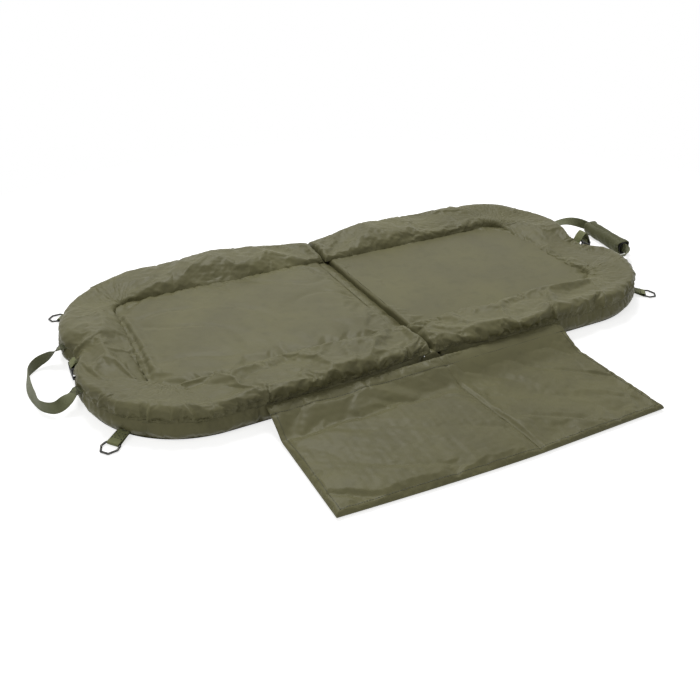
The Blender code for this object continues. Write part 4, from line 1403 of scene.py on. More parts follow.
@dataclass
class SideBand(HalfPart):
    """The band of cloth round the foam board, slack between its two seams."""

    seeds: ClassVar[tuple[int, int]] = (71, 83)
    steps: tuple[int, int, int] = (150, 110, 34)
    fold_steps: int = 60
    levels: int = 9
    seam_inset: float = 0.0050
    slack: float = 1.14
    foot_inset: float = 0.0085
    belly: float = 0.0036
    pulled_in: tuple[float, ...] = (1.157, 1.366)  # the left band's own tucks, round the band
    pulled_depth: float = 0.0075
    pulled_width: float = 0.0040
    low: float = 0.0016
    flank_from: float = 0.004
    flank_over: float = 0.02
    fold_inset: float = 0.0004

    def build(self) -> None:
        """Makes the band and ties it to its half."""
        plan = self.plan
        path = plan.round_path(plan.half_gap, self.steps, inner=False)
        closing = np.linspace(path[-1], path[0], self.fold_steps + 2)[1:-1]
        loop = np.concatenate([path, closing])
        ahead = np.roll(loop, -1, axis=0) - np.roll(loop, 1, axis=0)
        outward = unit(np.stack([-ahead[:, 1], ahead[:, 0]], axis=1))
        around = arc_lengths(loop)[:, None]
        share = np.linspace(0, 1, self.levels)[None]
        height = plan.seam - self.low
        profile = self.belly * np.sin(math.pi * share) - self.foot_inset * (1 - share) ** 2
        profile = profile - self.seam_inset * share ** 2
        for hollow in HOLLOWS[self.half]:
            profile = profile - hollow.inset * hollow.share(around + plan.half_gap) * share ** 2
        flank = ease((loop[:, :1] - plan.half_gap - self.flank_from) / self.flank_over)
        slow = Waves(self.seed, 0.05, 0.22, height=0.0028)(around, share * height)
        pleats = gathers(
            self.seed + 1, float(around[-1, 0]), spacing=0.023, depth=(0.0006, 0.0036),
            reach=(0.014, 0.040),
        )
        sink = total_sink(pleats, around, (1 - share) * height)
        out = profile + (slow - sink) * np.sin(math.pi * np.clip(share, 0.08, 1.0)) ** 0.5
        out = out * flank - self.fold_inset * (1 - flank)
        flat = loop[:, None] + outward[:, None] * out[..., None]
        z = np.broadcast_to(self.low + height * share, out.shape)
        grid = np.concatenate([flat, z[..., None]], axis=2)
        settle = Settle(frames=16, growth=0.035, pressure=3.0, bending=0.6, cap=0.005)
        grid[:len(path)] = settle.run(grid[:len(path)])
        for place in self.pulled_in if self.half is Half.LEFT else ():
            deep = self.pulled_depth * np.exp(-np.abs(around - place) / self.pulled_width)
            deep = deep * np.sin(math.pi * np.clip(share, 0.0, 0.94)) ** 0.5
            grid[..., :2] -= deep[..., None] * outward[:, None]
        grid[..., 2] = np.maximum(grid[..., 2], self.low)
        grid = finer(grid, 2, axis=1) * (self.half.value, 1, 1)
        band = self.sewn.sheet(f"{self.label}_band", grid, self.finishes.cloth, wrap=True)
        self.tie(band, "mat_cloth", "side_band")
        f"{self.label}_foam_core"


@dataclass
class FoldStrip:
    """The strip of cloth that joins the halves, slack and crumpled in the fold."""

    plan: MatPlan
    sewn: Sewn
    finish: Material
    high: float
    low: float
    seed: int = 91
    columns: int = 41
    rows: int = 300
    apron_rows: int = 10
    apron_low: float = 0.004
    apron_spread: float = 0.25
    raised: float = 0.004
    raised_over: float = 0.060
    apron_bulge: float = 0.004
    slack: float = 1.08
    side_gap: float = 0.0006
    past_edge: float = 0.001
    step_from: float = 0.25  # the share of its width where it starts down to the right half

    def build(self) -> None:
        """Makes the strip and hides the solid strip that it stands for."""
        plan = self.plan
        half = plan.half_gap - self.side_gap
        reach = plan.half_width - float(plan.fold_draw(plan.half_gap)) + self.past_edge
        share = np.linspace(0, 1, self.columns)
        y = np.linspace(-reach, reach, self.rows)
        gx, gy = np.meshgrid(-half + 2 * half * share, y, indexing="ij")
        lower = ease((share - self.step_from) / (1 - self.step_from))[:, None]
        level = self.high + (self.low - self.high) * lower
        loose = np.sin(math.pi * share)[:, None]
        ends = ease((np.abs(gy) - reach + self.raised_over) / self.raised_over)
        level = level + (self.high + self.raised - level) * ends * loose
        crumples = Waves(
            self.seed, 0.012, 0.070, count=30, heading=math.pi / 2, spread=0.7, height=0.0026
        )
        grid = np.stack([gx, gy, level + crumples(gx, gy) * loose], axis=-1)
        drop = np.linspace(0, 1, self.apron_rows + 1)[1:]
        front, back = grid[:, :1], grid[:, -1:]
        aprons = []
        for edge, way in ((front, -1), (back, 1)):
            rows = np.repeat(edge, self.apron_rows, axis=1)
            rows[..., 1] += way * self.apron_bulge * np.sin(drop * math.pi) * loose
            rows[..., 2] += (self.apron_low - rows[..., 2]) * drop
            rows[..., 0] *= 1 + self.apron_spread * ease(8 * drop)
            aprons.append(rows)
        grid = np.concatenate([aprons[0][:, ::-1], grid, aprons[1]], axis=1)
        strip = self.sewn.sheet("fold_cloth", grid, self.finish)
        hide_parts("fold_strip")
        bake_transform(strip)


@dataclass
class Seams:
    """Sewing thread along lines, laid one stitch after another by a Geometry Nodes tree."""

    sewn: Sewn
    finish: Material
    length: float = 0.0036
    spacing: float = 0.0050
    radius: float = 0.00042
    lift: float = 0.0003
    box_share: float = 0.80  # of the webbing's width
    box_points: int = 8
    kept: dict = field(default_factory=dict)

    def tree(self) -> NodeTree:
        """The tree, with the sizes of a stitch as its inputs."""
        tree = bpy.data.node_groups.new("stitches", "GeometryNodeTree")
        sockets = tree.interface
        sockets.new_socket("Geometry", in_out="INPUT", socket_type="NodeSocketGeometry")
        for name in ("Spacing", "Length", "Radius"):
            sockets.new_socket(name, in_out="INPUT", socket_type="NodeSocketFloat")
        sockets.new_socket("Thread", in_out="INPUT", socket_type="NodeSocketMaterial")
        sockets.new_socket("Geometry", in_out="OUTPUT", socket_type="NodeSocketGeometry")
        add = partial(add_node, tree)
        start = add("NodeGroupInput")
        line = add("GeometryNodeMeshToCurve", links={0: (start, 0)})
        spots = add(
            "GeometryNodeCurveToPoints", mode="LENGTH",
            links={"Curve": (line, 0), "Length": (start, "Spacing")},
        )
        stitch = add(
            "GeometryNodeMeshCylinder", {"Vertices": 6},
            {"Radius": (start, "Radius"), "Depth": (start, "Length")},
        )
        placed = add(
            "GeometryNodeInstanceOnPoints",
            links={"Points": (spots, "Points"), "Instance": (stitch, "Mesh"),
                   "Rotation": (spots, "Rotation")},
        )
        real = add("GeometryNodeRealizeInstances", links={0: (placed, 0)})
        done = add(
            "GeometryNodeSetMaterial",
            links={"Geometry": (real, 0), "Material": (start, "Thread")},
        )
        add("NodeGroupOutput", links={0: (done, 0)})
        return tree

    def sew(self, name: str, lines: list[np.ndarray]) -> Piece:
        """Stitches along lines of points about the fold line.

        Args:
            name: the piece's name.
            lines: arrays of points.

        Returns:
            The stitches as one plain mesh.
        """
        points = np.concatenate(lines) + np.array(self.sewn.plan.origin)
        edges, first = [], 0
        for line in lines:
            edges += [(first + k, first + k + 1) for k in range(len(line) - 1)]
            first += len(line)
        data = bpy.data.meshes.new(name + "_lines")
        data.from_pydata(points.tolist(), edges, [])
        guide = add_object(name + "_lines", data)
        layer = guide.modifiers.new("stitches", "NODES")
        layer.node_group = self.tree()
        given = {
            "Spacing": self.spacing, "Length": self.length, "Radius": self.radius,
            "Thread": self.finish,
        }
        for socket in layer.node_group.interface.items_tree:
            if socket.in_out == "INPUT" and socket.name in given:
                layer[socket.identifier] = given[socket.name]
        ready = guide.evaluated_get(bpy.context.evaluated_depsgraph_get())
        made = add_object(name, bpy.data.meshes.new_from_object(ready))
        bpy.data.objects.remove(guide, do_unlink=True)
        LOG.info("%s: %d faces", name, len(made.data.polygons))
        return made

    def box(self, body: str, places: np.ndarray, widths: np.ndarray, rows: tuple[int, int]) -> None:
        """Keeps a box stitch with a cross for a body's stitches.

        Args:
            body: the body that the webbing rides on.
            places: the points of its middle line.
            widths: half its width at each, as vectors.
            rows: the first and last point of the box.
        """
        up = unit(np.cross(np.gradient(places, axis=0), widths))
        up = up * np.where(up[:, 2:] < 0, -1, 1)
        raised = places + up * (Webbings.thickness / 2 + self.lift)
        first, last = rows
        edge = self.box_share
        corner = {(row, way): raised[row] + widths[row] * edge * way for row in rows for way in (-1, 1)}
        sides = [raised[first:last + 1] + widths[first:last + 1] * edge * way for way in (-1, 1)]
        count = self.box_points
        ends = [np.linspace(corner[row, -1], corner[row, 1], count) for row in rows]
        cross = [np.linspace(corner[first, way], corner[last, -way], count) for way in (-1, 1)]
        self.kept.setdefault(body, []).extend(sides + ends + cross)

    def build(self) -> None:
        """Makes the stitches that were kept, one piece for each body."""
        for body, lines in self.kept.items():
            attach(self.sew(f"{body}_webbing_stitches", lines), body)


@dataclass
class CoverFlap(HalfPart):
    """One padded leaf of the cover flap, with the bare cloth that hangs it on the mat."""

    seeds: ClassVar[tuple[int, int]] = (101, 113)
    seams: Seams
    columns: int = 108
    rows: int = 92
    thickness: float = 0.0105
    bare: float = 0.024
    padded_from: float = 0.012
    padded_over: float = 0.090
    ramp: float = 0.088
    edge: float = 0.0065
    crease_half: float = -0.0002  # the leaves run into one another, as they are sewn there
    crease_share: float = 0.60
    crease_width: float = 0.012
    crease_held: float = 0.030
    crease_drift: float = 0.018
    short_corner: float = 0.022
    ground: float = 0.0006
    hem: float = 0.009
    bend_over: float = 0.055
    rim_share: float = 0.0012
    bare_thickness: float = 0.0010
    below_seam: float = 0.0012
    raised_edge: float = 0.40  # of its thickness, under the rounded edge
    waves_over: float = 0.03
    ridge_height: float = 0.0022
    ridge_share: float = 0.45
    ridge_level: float = 0.8
    crown: float = 0.0025
    crown_over: float = 0.06
    pleat_fade: float = 0.006
    edge_fade: float = 0.005
    stitch_depth: float = 0.0016
    stitch_width: float = 0.0030
    stitch_fade: float = 0.01
    stitch_margin: int = 4  # columns of the fine grid that stay without stitches at a leaf's edge

    def shares(self, count: int, rim: float) -> np.ndarray:
        """Shares from 0 to 1 that are closer together near both ends."""
        even = np.linspace(0, 1, count - 2)
        bunched = 0.5 - 0.5 * np.cos(even * math.pi)
        return np.concatenate([[0.0], rim + (1 - 2 * rim) * (0.45 * bunched + 0.55 * even), [1.0]])

    def draped(self, top: np.ndarray, bottom: np.ndarray, crease_off: np.ndarray) -> np.ndarray:
        """The top cloth once it has settled over its padding, held down along the middle crease."""
        settle = Settle(frames=22, growth=0.013, pressure=1.4, bending=2.6, cap=0.005)
        top = top + (settle.run(top) - top) * ease(crease_off / self.crease_held)[..., None]
        top[..., 2] = np.maximum(top[..., 2], bottom[..., 2])
        return top

    def stitch_lines(self, top: np.ndarray, hinge_y: float) -> list[np.ndarray]:
        """Where the leaf is stitched.

        Args:
            top: the grid of its top cloth.
            hinge_y: the place of the hinge.

        Returns:
            A line beside its bare cloth, and the two lines of its hem.
        """
        lift = np.array([0, 0, self.seams.lift])
        run = hinge_y - top[..., 1].mean(axis=0)
        row = int(np.argmin(np.abs(run - self.bare)))
        hem_row = int(np.argmin(np.abs(run - (run[-1] - self.hem))))
        x = np.abs(top[..., 0]).mean(axis=1)
        hem_column = int(np.argmin(np.abs(x - (x[-1] - self.hem))))
        first = self.stitch_margin
        return [
            top[first:-first, row] + lift,
            top[first:hem_column, hem_row] + lift,
            top[hem_column, row:hem_row] + lift,
        ]

    def build(self) -> None:
        """Makes the leaf, sloping down from the hinge to the ground, and its stitches."""
        label = self.label
        low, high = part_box(f"{label}_flap_cover")
        hinge = joint("flap_fold")["pos_m"]
        outer = (low.x if self.half is Half.LEFT else high.x) - self.plan.origin.x
        hinge_y = hinge[1] - self.plan.origin.y
        reach = hinge[1] - low.y
        inner = self.half.value * self.crease_half
        across = self.shares(self.columns, self.rim_share)
        down = self.shares(self.rows, self.rim_share)
        shift, s = np.meshgrid(across, down, indexing="ij")
        wide = abs(outer - inner)
        length = np.full_like(shift, reach)
        if self.half is Half.LEFT:
            length = reach - self.short_corner * shift ** 1.4
        x = inner + (outer - inner) * shift + self.crease_drift * s * (1 - shift)
        run = s * length
        y = hinge_y - run
        fall = 1 - ease(run / self.ramp)
        padding = ease((run - self.padded_from) / self.padded_over)
        side, far = (1 - shift) * wide, (1 - s) * length
        away = np.minimum(side, far)
        rounded = np.sqrt(np.clip(1 - (1 - np.minimum(away / self.edge, 1.0)) ** 2, 0, 1))
        crease = self.crease_share + (1 - self.crease_share) * ease(shift * wide / self.crease_width)
        crease = np.where(shift > 0, crease, 0.0)
        thick = self.bare_thickness + (self.thickness - self.bare_thickness) * padding
        thick = thick * rounded * crease
        bottom = self.ground + (self.plan.seam - self.below_seam - self.ground) * fall
        bottom = bottom + (1 - rounded) * self.raised_edge * self.thickness * padding
        top = bottom + thick * np.where(s > 0, 1.0, 0.0)
        inside = ease(np.minimum(away, shift * wide) / self.waves_over) * ease(run / self.waves_over)
        slow = Waves(self.seed, 0.08, 0.26, heading=0.9, spread=0.6, height=0.0024)(x, y)
        ridge = np.abs(Waves(self.seed + 1, 0.07, 0.22, count=16, heading=0.9, spread=0.5)(x, y))
        ridge = np.minimum(ridge, self.ridge_share) / self.ridge_share - self.ridge_level
        ridge = self.ridge_height * ridge
        crown = self.crown * ease(away / self.crown_over) * padding
        far_pleats, side_pleats, seam_pleats = (
            gathers(self.seed + more, long, spacing, depth, reach_over)
            for more, long, spacing, depth, reach_over in (
                (3, wide + 0.05, 0.024, (0.0006, 0.0026), (0.010, 0.040)),
                (6, reach, 0.030, (0.0004, 0.0018), (0.010, 0.030)),
                (5, wide, 0.017, (0.0010, 0.0036), (0.014, 0.050)),
            )
        )
        along = np.abs(x)
        sink = total_sink(far_pleats, along, far) + total_sink(side_pleats, run, side)
        at_seam = total_sink(seam_pleats, along, run) * ease(run / self.pleat_fade)
        sink = (sink * ease(away / self.edge_fade) + at_seam) * ease(shift * wide / self.pleat_fade)
        stitched = self.stitch_depth * np.exp(-((run - self.bare) / self.stitch_width) ** 2)
        live = np.where((shift > 0) & (shift < 1) & (s > 0) & (s < 1), 1.0, 0.0)
        stitched = stitched * ease(away / self.stitch_fade)
        top = top + ((slow + ridge) * inside + crown - sink - stitched) * live
        top = np.maximum(top, bottom)
        low_grid = np.stack([x, y, bottom], axis=-1)
        top_grid = self.draped(np.stack([x, y, top], axis=-1), low_grid, shift * wide)
        top_grid, low_grid = doubled(top_grid), doubled(low_grid)
        crinkles = Waves(self.seed + 2, 0.012, 0.040, count=30, height=0.0005)
        fine = crinkles(top_grid[..., 0], top_grid[..., 1])
        top_grid[1:-1, 1:-1, 2] += fine[1:-1, 1:-1]
        top_grid[..., 2] = np.maximum(top_grid[..., 2], low_grid[..., 2])
        leaf = self.sewn.pillow(f"{label}_flap_leaf", top_grid, low_grid, self.finishes.cloth)
        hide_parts(f"{label}_flap_cover", f"{label}_flap_foam", f"{label}_flap_web")
        self.half.body
        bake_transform(leaf)
        stitches = self.seams.sew(f"{label}_flap_stitches", self.stitch_lines(top_grid, hinge_y))
        self.half.body
        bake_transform(stitches)


@dataclass
class LowerBody(HalfPart):
    """What the band goes round: the foam core of a half and the coated cloth under it."""

    steps: tuple[int, int, int] = (40, 40, 16)
    inset: float = 0.0125
    bevel: float = 0.004
    core_low: float = 0.0022
    core_top: float = 0.0352
    turned_up: float = 0.0016
    rings: tuple[float, ...] = (1.0, 0.97, 0.90, 0.75, 0.5, 0.25)
    edge_inset: float = 0.0070
    cloth_inset: float = 0.0085
    cloth_low: float = 0.0004
    slack: float = 1.012

    def outline(self, inset: float) -> np.ndarray:
        """The half's outline in plan, drawn in by a distance, with x counted outwards."""
        path = self.plan.round_path(self.plan.half_gap + inset, self.steps, inner=False)
        ahead = unit(np.gradient(path, axis=0))
        return path + np.stack([ahead[:, 1], -ahead[:, 0]], axis=1) * inset

    def loop(self, inset: float, height: float) -> np.ndarray:
        """One level of a solid with that outline."""
        flat = self.outline(inset)
        points = np.concatenate([flat, np.full((len(flat), 1), height)], axis=1)
        return points * (self.half.value, 1, 1)

    def build(self) -> None:
        """Makes both and ties them to the half."""
        edges = [(1 - math.sin(t), 1 - math.cos(t)) for t in np.linspace(0, math.pi / 2, 4)]
        levels = [
            self.loop(self.inset + self.bevel * a, self.core_low + self.bevel * b) for a, b in edges
        ]
        levels += [
            self.loop(self.inset + self.bevel * b, self.core_top - self.bevel * a) for a, b in edges
        ]
        core = self.sewn.tube(f"{self.label}_foam_core", np.array(levels), self.finishes.foam)
        self.tie(core, "foam", "foam_board")
        edge = self.loop(self.edge_inset, self.turned_up)
        outline = self.loop(self.cloth_inset, self.cloth_low)
        middle = outline.mean(axis=0)
        loops = [edge] + [middle + (outline - middle) * (s, s, 1) for s in self.rings]
        cloth = self.sewn.dish(f"{self.label}_base_cloth", np.array(loops), self.finishes.base)
        self.tie(cloth, "base_cloth", "base_sheet")
        f"{self.label}_foam_core"


@dataclass
class Webbings:
    """The webbing of the mat: two carrying straps, four ring tabs with their rings, and the closure."""

    plan: MatPlan
    sewn: Sewn
    finishes: Finishes
    seams: Seams
    width: float = 0.025
    thickness: float = 0.0015
    root: float = 0.003
    sewn_in: float = 0.013
    tab_sewn_in: float = 0.006
    per_span: int = 14
    box_rows: int = 12
    turn_steps: int = 22
    left_reach: float = 0.079
    left_ends: tuple[float, float] = (0.066, -0.108)
    right_reach: float = 0.112
    right_ends: tuple[float, float] = (0.122, -0.091)
    tab_inset: float = 0.047
    tab_reach: float = 0.028
    tab_height: float = 0.012
    wire: float = 0.0042
    ring_corners: tuple = ((0.0, 0.0145), (0.0118, 0.01725), (0.0255, 0.008))
    ring_bend: float = 0.003
    bend_steps: int = 6
    wire_steps: int = 14
    socket_bar: tuple[float, float] = (0.0085, 0.0265)
    plug_bar: tuple[float, float] = (0.035, 0.0345)
    bar_depth: float = 0.0032
    socket_bar_depth: float = 0.0035
    plug_thickness: float = 0.0045
    plug_rise: float = 0.061

    @property
    def high(self) -> float:
        """The height at which the straps are sewn into the seam."""
        return self.plan.seam - self.thickness

    def at_end(self, half: Half, local: np.ndarray, inset: float = 0.0) -> np.ndarray:
        """Places of (out, across, up) from the middle of an end, each turned to that end."""
        way = (half.value, half.value, 1)
        start = (half.value * (self.plan.half_length - inset), 0, self.high)
        return local * way + start

    def rolled(self, route: np.ndarray, half: Half) -> tuple[np.ndarray, np.ndarray]:
        """Places and half widths of a strap from rows of (out, across, up, roll)."""
        ahead = np.gradient(route[:, :3], axis=0)
        level = unit(np.cross(UP, ahead))
        roll = route[:, 3:4]
        widths = level * np.cos(roll) + UP * np.sin(roll)
        for end in (0, 1, -2, -1):
            widths[end] = (0, math.copysign(1, widths[end, 1]), 0)
        widths = widths * self.width / 2
        return self.at_end(half, route[:, :3]), widths * (half.value, half.value, 1)

    def carrying_strap(self, half: Half, marks: list, ends: tuple[float, float]) -> None:
        """A carrying strap through its marks, sewn in level at both ends."""
        route = smooth_route(np.array(marks), self.per_span)
        first = [(self.plan.clearance - self.sewn_in, ends[0], 0, 0)]
        last = [(self.plan.clearance - self.sewn_in, ends[1], 0, 0)]
        places, widths = self.rolled(np.concatenate([first, route, last]), half)
        label = half.label
        strap = self.sewn.ribbon(
            f"{label}_carrying_strap", places, widths, self.finishes.strap, self.thickness
        )
        body = body_of_joint(f"{label}_handle_swing")
        tie(strap, body, "strap_webbing", f"{label}_handle_strap")
        self.seams.box(body, places, widths, (1, self.box_rows))
        self.seams.box(body, places[::-1], widths[::-1], (1, self.box_rows))

    def left_strap(self) -> None:
        """The plain strap, which lies on its edge on the ground."""
        back, front = (-y for y in self.left_ends)
        reach, quarter = self.left_reach, math.pi / 2
        lying = self.width / 2 - self.high + 2 * self.plan.clearance
        marks = [
            (self.root, back, 0.0, 0.0),
            (0.15 * reach, back - 0.002, 0.25 * lying, 0.20 * quarter),
            (0.34 * reach, back - 0.004, 0.65 * lying, 0.72 * quarter),
            (0.62 * reach, back - 0.001, 0.95 * lying, quarter),
            (0.92 * reach, back + 0.028, lying, 0.90 * quarter),
            (reach, back + 0.070, lying, 0.72 * quarter),
            (0.97 * reach, front - 0.050, lying, 0.78 * quarter),
            (0.85 * reach, front - 0.010, lying, quarter),
            (0.58 * reach, front + 0.012, 0.8 * lying, 0.85 * quarter),
            (0.30 * reach, front + 0.009, 0.45 * lying, 0.25 * quarter),
            (0.15 * reach, front + 0.004, 0.2 * lying, -0.10 * quarter),
            (self.root, front, 0.0, 0.0),
        ]
        self.carrying_strap(Half.LEFT, marks, (back, front))

    def right_strap(self, wrap: "HandWrap") -> None:
        """The strap that runs straight through the hand wrap."""
        back, front = self.right_ends
        reach, quarter = self.right_reach, math.pi / 2
        straight = wrap.straight()
        marks = [
            (self.root, back, 0.0, 0.0),
            (0.12 * reach, back + 0.001, -0.003, 0.0),
            (0.38 * reach, back + 0.004, -0.001, 0.12 * quarter),
            (0.80 * reach, back + 0.001, -0.006, 0.55 * quarter),
            *((*spot, quarter) for spot in straight),
            (0.42 * reach, front - 0.012, -0.009, 0.25 * quarter),
            (self.root, front, 0.0, 0.0),
        ]
        self.carrying_strap(Half.RIGHT, marks, self.right_ends)

    def upright(
        self, name: str, line: np.ndarray, place: np.ndarray | tuple, heading: float, finish: Material
    ) -> tuple[Piece, np.ndarray, np.ndarray]:
        """Webbing whose line of (out, up) stands over a heading, with its width level."""
        out, side = level_ways(heading)
        places = np.array(place) + line[:, :1] * out + line[:, 1:] * UP
        widths = np.tile(side * self.width / 2, (len(line), 1))
        made = self.sewn.ribbon(name, places, widths, finish, self.thickness)
        return made, places, widths

    def closure(self) -> None:
        """The webbing of the buckle: a short loop on the left, a stiff standing fold on the right."""
        round_the_bar = self.plan.clearance + self.thickness / 2
        inset = self.plan.end_pinch
        bar = (self.socket_bar[0], self.socket_bar[1] - self.high)
        radius = math.hypot(self.socket_bar_depth, self.bar_depth) / 2 + round_the_bar
        low = (self.root / 2, -2 * self.thickness)
        line = tangent_loop((self.root, 0), low, bar, radius, self.turn_steps)
        line = np.concatenate([[(-self.sewn_in, 0.0)], line, [(-self.sewn_in, low[1])]])
        place = (-(self.plan.half_length - inset), 0, self.high)
        loop = self.upright("left_closure_webbing", line, place, math.pi, self.finishes.tab)[0]
        bar = (self.plug_bar[0], self.plug_bar[1] - self.high)
        radius = math.hypot(self.plug_thickness, self.bar_depth) / 2 + round_the_bar
        rise = self.plug_rise - self.high
        out = self.plug_bar[0]
        fold = tangent_loop(
            (0.86 * out, 0.62 * rise), (0.72 * out, 0.30 * rise), bar, radius, self.turn_steps
        )
        marks = [(self.root, 0, 0), (0.28 * out, 0.55 * rise, 0), (0.62 * out, rise, 0)]
        climb = smooth_route(np.array([*marks, (*fold[0], 0)]), 9)[:-1, :2]
        line = np.concatenate([[(-self.sewn_in, 0.0)], climb, fold])
        place = (self.plan.half_length - inset, 0, self.high)
        fold = self.upright("right_closure_webbing", line, place, 0.0, self.finishes.tab)[0]
        for piece, half in ((loop, Half.LEFT), (fold, Half.RIGHT)):
            body = body_of_joint(f"{half.label}_closure_swing")
            tie(piece, body, "webbing", f"{half.label}_closure_strap")

    def tab(self, half: Half, back: int) -> None:
        """One ring tab and its ring.

        Args:
            half: the half that it is on.
            back: 1 at the back, -1 at the front.
        """
        plan = self.plan
        radius = plan.corner_radius
        turn = math.acos(1 - self.tab_inset / radius)
        spot = np.array([plan.half_length - radius, plan.half_width - radius])
        spot = spot + radius * np.array([math.cos(turn), math.sin(turn)])
        heading = math.atan2(back * math.sin(turn), half.value * math.cos(turn))
        place = np.array([half.value * spot[0], back * spot[1], 0.0])
        loop = self.wire / 2 + plan.clearance + self.thickness / 2
        bar_height = loop + self.thickness / 2
        high = (self.root, self.tab_height - self.thickness / 2)
        low = (self.root, high[1] - 2 * self.thickness)
        line = tangent_loop(high, low, (self.tab_reach, bar_height), loop, self.turn_steps)
        line = np.concatenate([[(-self.tab_sewn_in, high[1])], line, [(-self.tab_sewn_in, low[1])]])
        stem = f"{half.label}_{'back' if back > 0 else 'front'}"
        tab, places, widths = self.upright(f"{stem}_ring_tab", line, place, heading, self.finishes.tab)
        top = np.concatenate([places[1:2], np.linspace(places[1], places[2], 9)[1:]])
        self.seams.box(half.body, top, np.tile(widths[0], (len(top), 1)), (1, 5))
        tie(tab, half.body, "webbing", f"{stem}_tab")
        droop = math.asin((bar_height - self.wire / 2) / self.ring_corners[-1][0])
        self.ring(stem, place, heading, bar_height, droop)

    def ring(self, stem: str, place: np.ndarray, heading: float, height: float, droop: float) -> None:
        """A six-sided ring of bent wire, lying with its tip on the ground."""
        half_ring = list(self.ring_corners)
        corners = [(x, -y) for x, y in half_ring] + [(x, y) for x, y in reversed(half_ring)]
        line = self.rounded(np.array(corners))
        out, side = level_ways(heading)
        ahead = out * math.cos(droop) - UP * math.sin(droop)
        normal = out * math.sin(droop) + UP * math.cos(droop)
        middle = place + out * self.tab_reach + UP * height
        points = middle + line[:, :1] * ahead + line[:, 1:] * side
        along = unit(np.roll(points, -1, axis=0) - np.roll(points, 1, axis=0))
        outward = np.cross(along, normal)
        turn = np.linspace(0, 2 * math.pi, self.wire_steps, endpoint=False)[:, None]
        grid = points[:, None] + (
            outward[:, None] * np.cos(turn) + normal * np.sin(turn)
        ) * self.wire / 2
        rows, columns = grid.shape[:2]
        faces = Sewn.quads(rows, columns, wrap_rows=True, wrap_columns=True)
        ring = self.sewn.piece(
            f"{stem}_wire_ring", grid.reshape(-1, 3), faces, self.finishes.steel, Sewn.flat(grid)
        )
        tie(ring, body_of_joint(f"{stem}_ring_swing"), "black_metal", f"{stem}_ring")

    def rounded(self, corners: np.ndarray) -> np.ndarray:
        """A closed line of corners, each bent round."""
        line = []
        for i, here in enumerate(corners):
            before = unit(corners[i - 1] - here)
            after = unit(corners[(i + 1) % len(corners)] - here)
            half = math.acos(float(np.clip(before @ after, -1, 1))) / 2
            trim = self.ring_bend / math.tan(half)
            middle = here + unit(before + after) * self.ring_bend / math.sin(half)
            start, stop = here + before * trim - middle, here + after * trim - middle
            first = math.atan2(start[1], start[0])
            turn = math.remainder(math.atan2(stop[1], stop[0]) - first, 2 * math.pi)
            for k in range(self.bend_steps + 1):
                now = first + turn * k / self.bend_steps
                line.append(middle + self.ring_bend * np.array([math.cos(now), math.sin(now)]))
        return np.array(line)

    def build(self, wrap: "HandWrap") -> None:
        """Makes every strap, tab and ring."""
        self.left_strap()
        self.right_strap(wrap)
        self.closure()
        for half in Half:
            for back in (1, -1):
                self.tab(half, back)


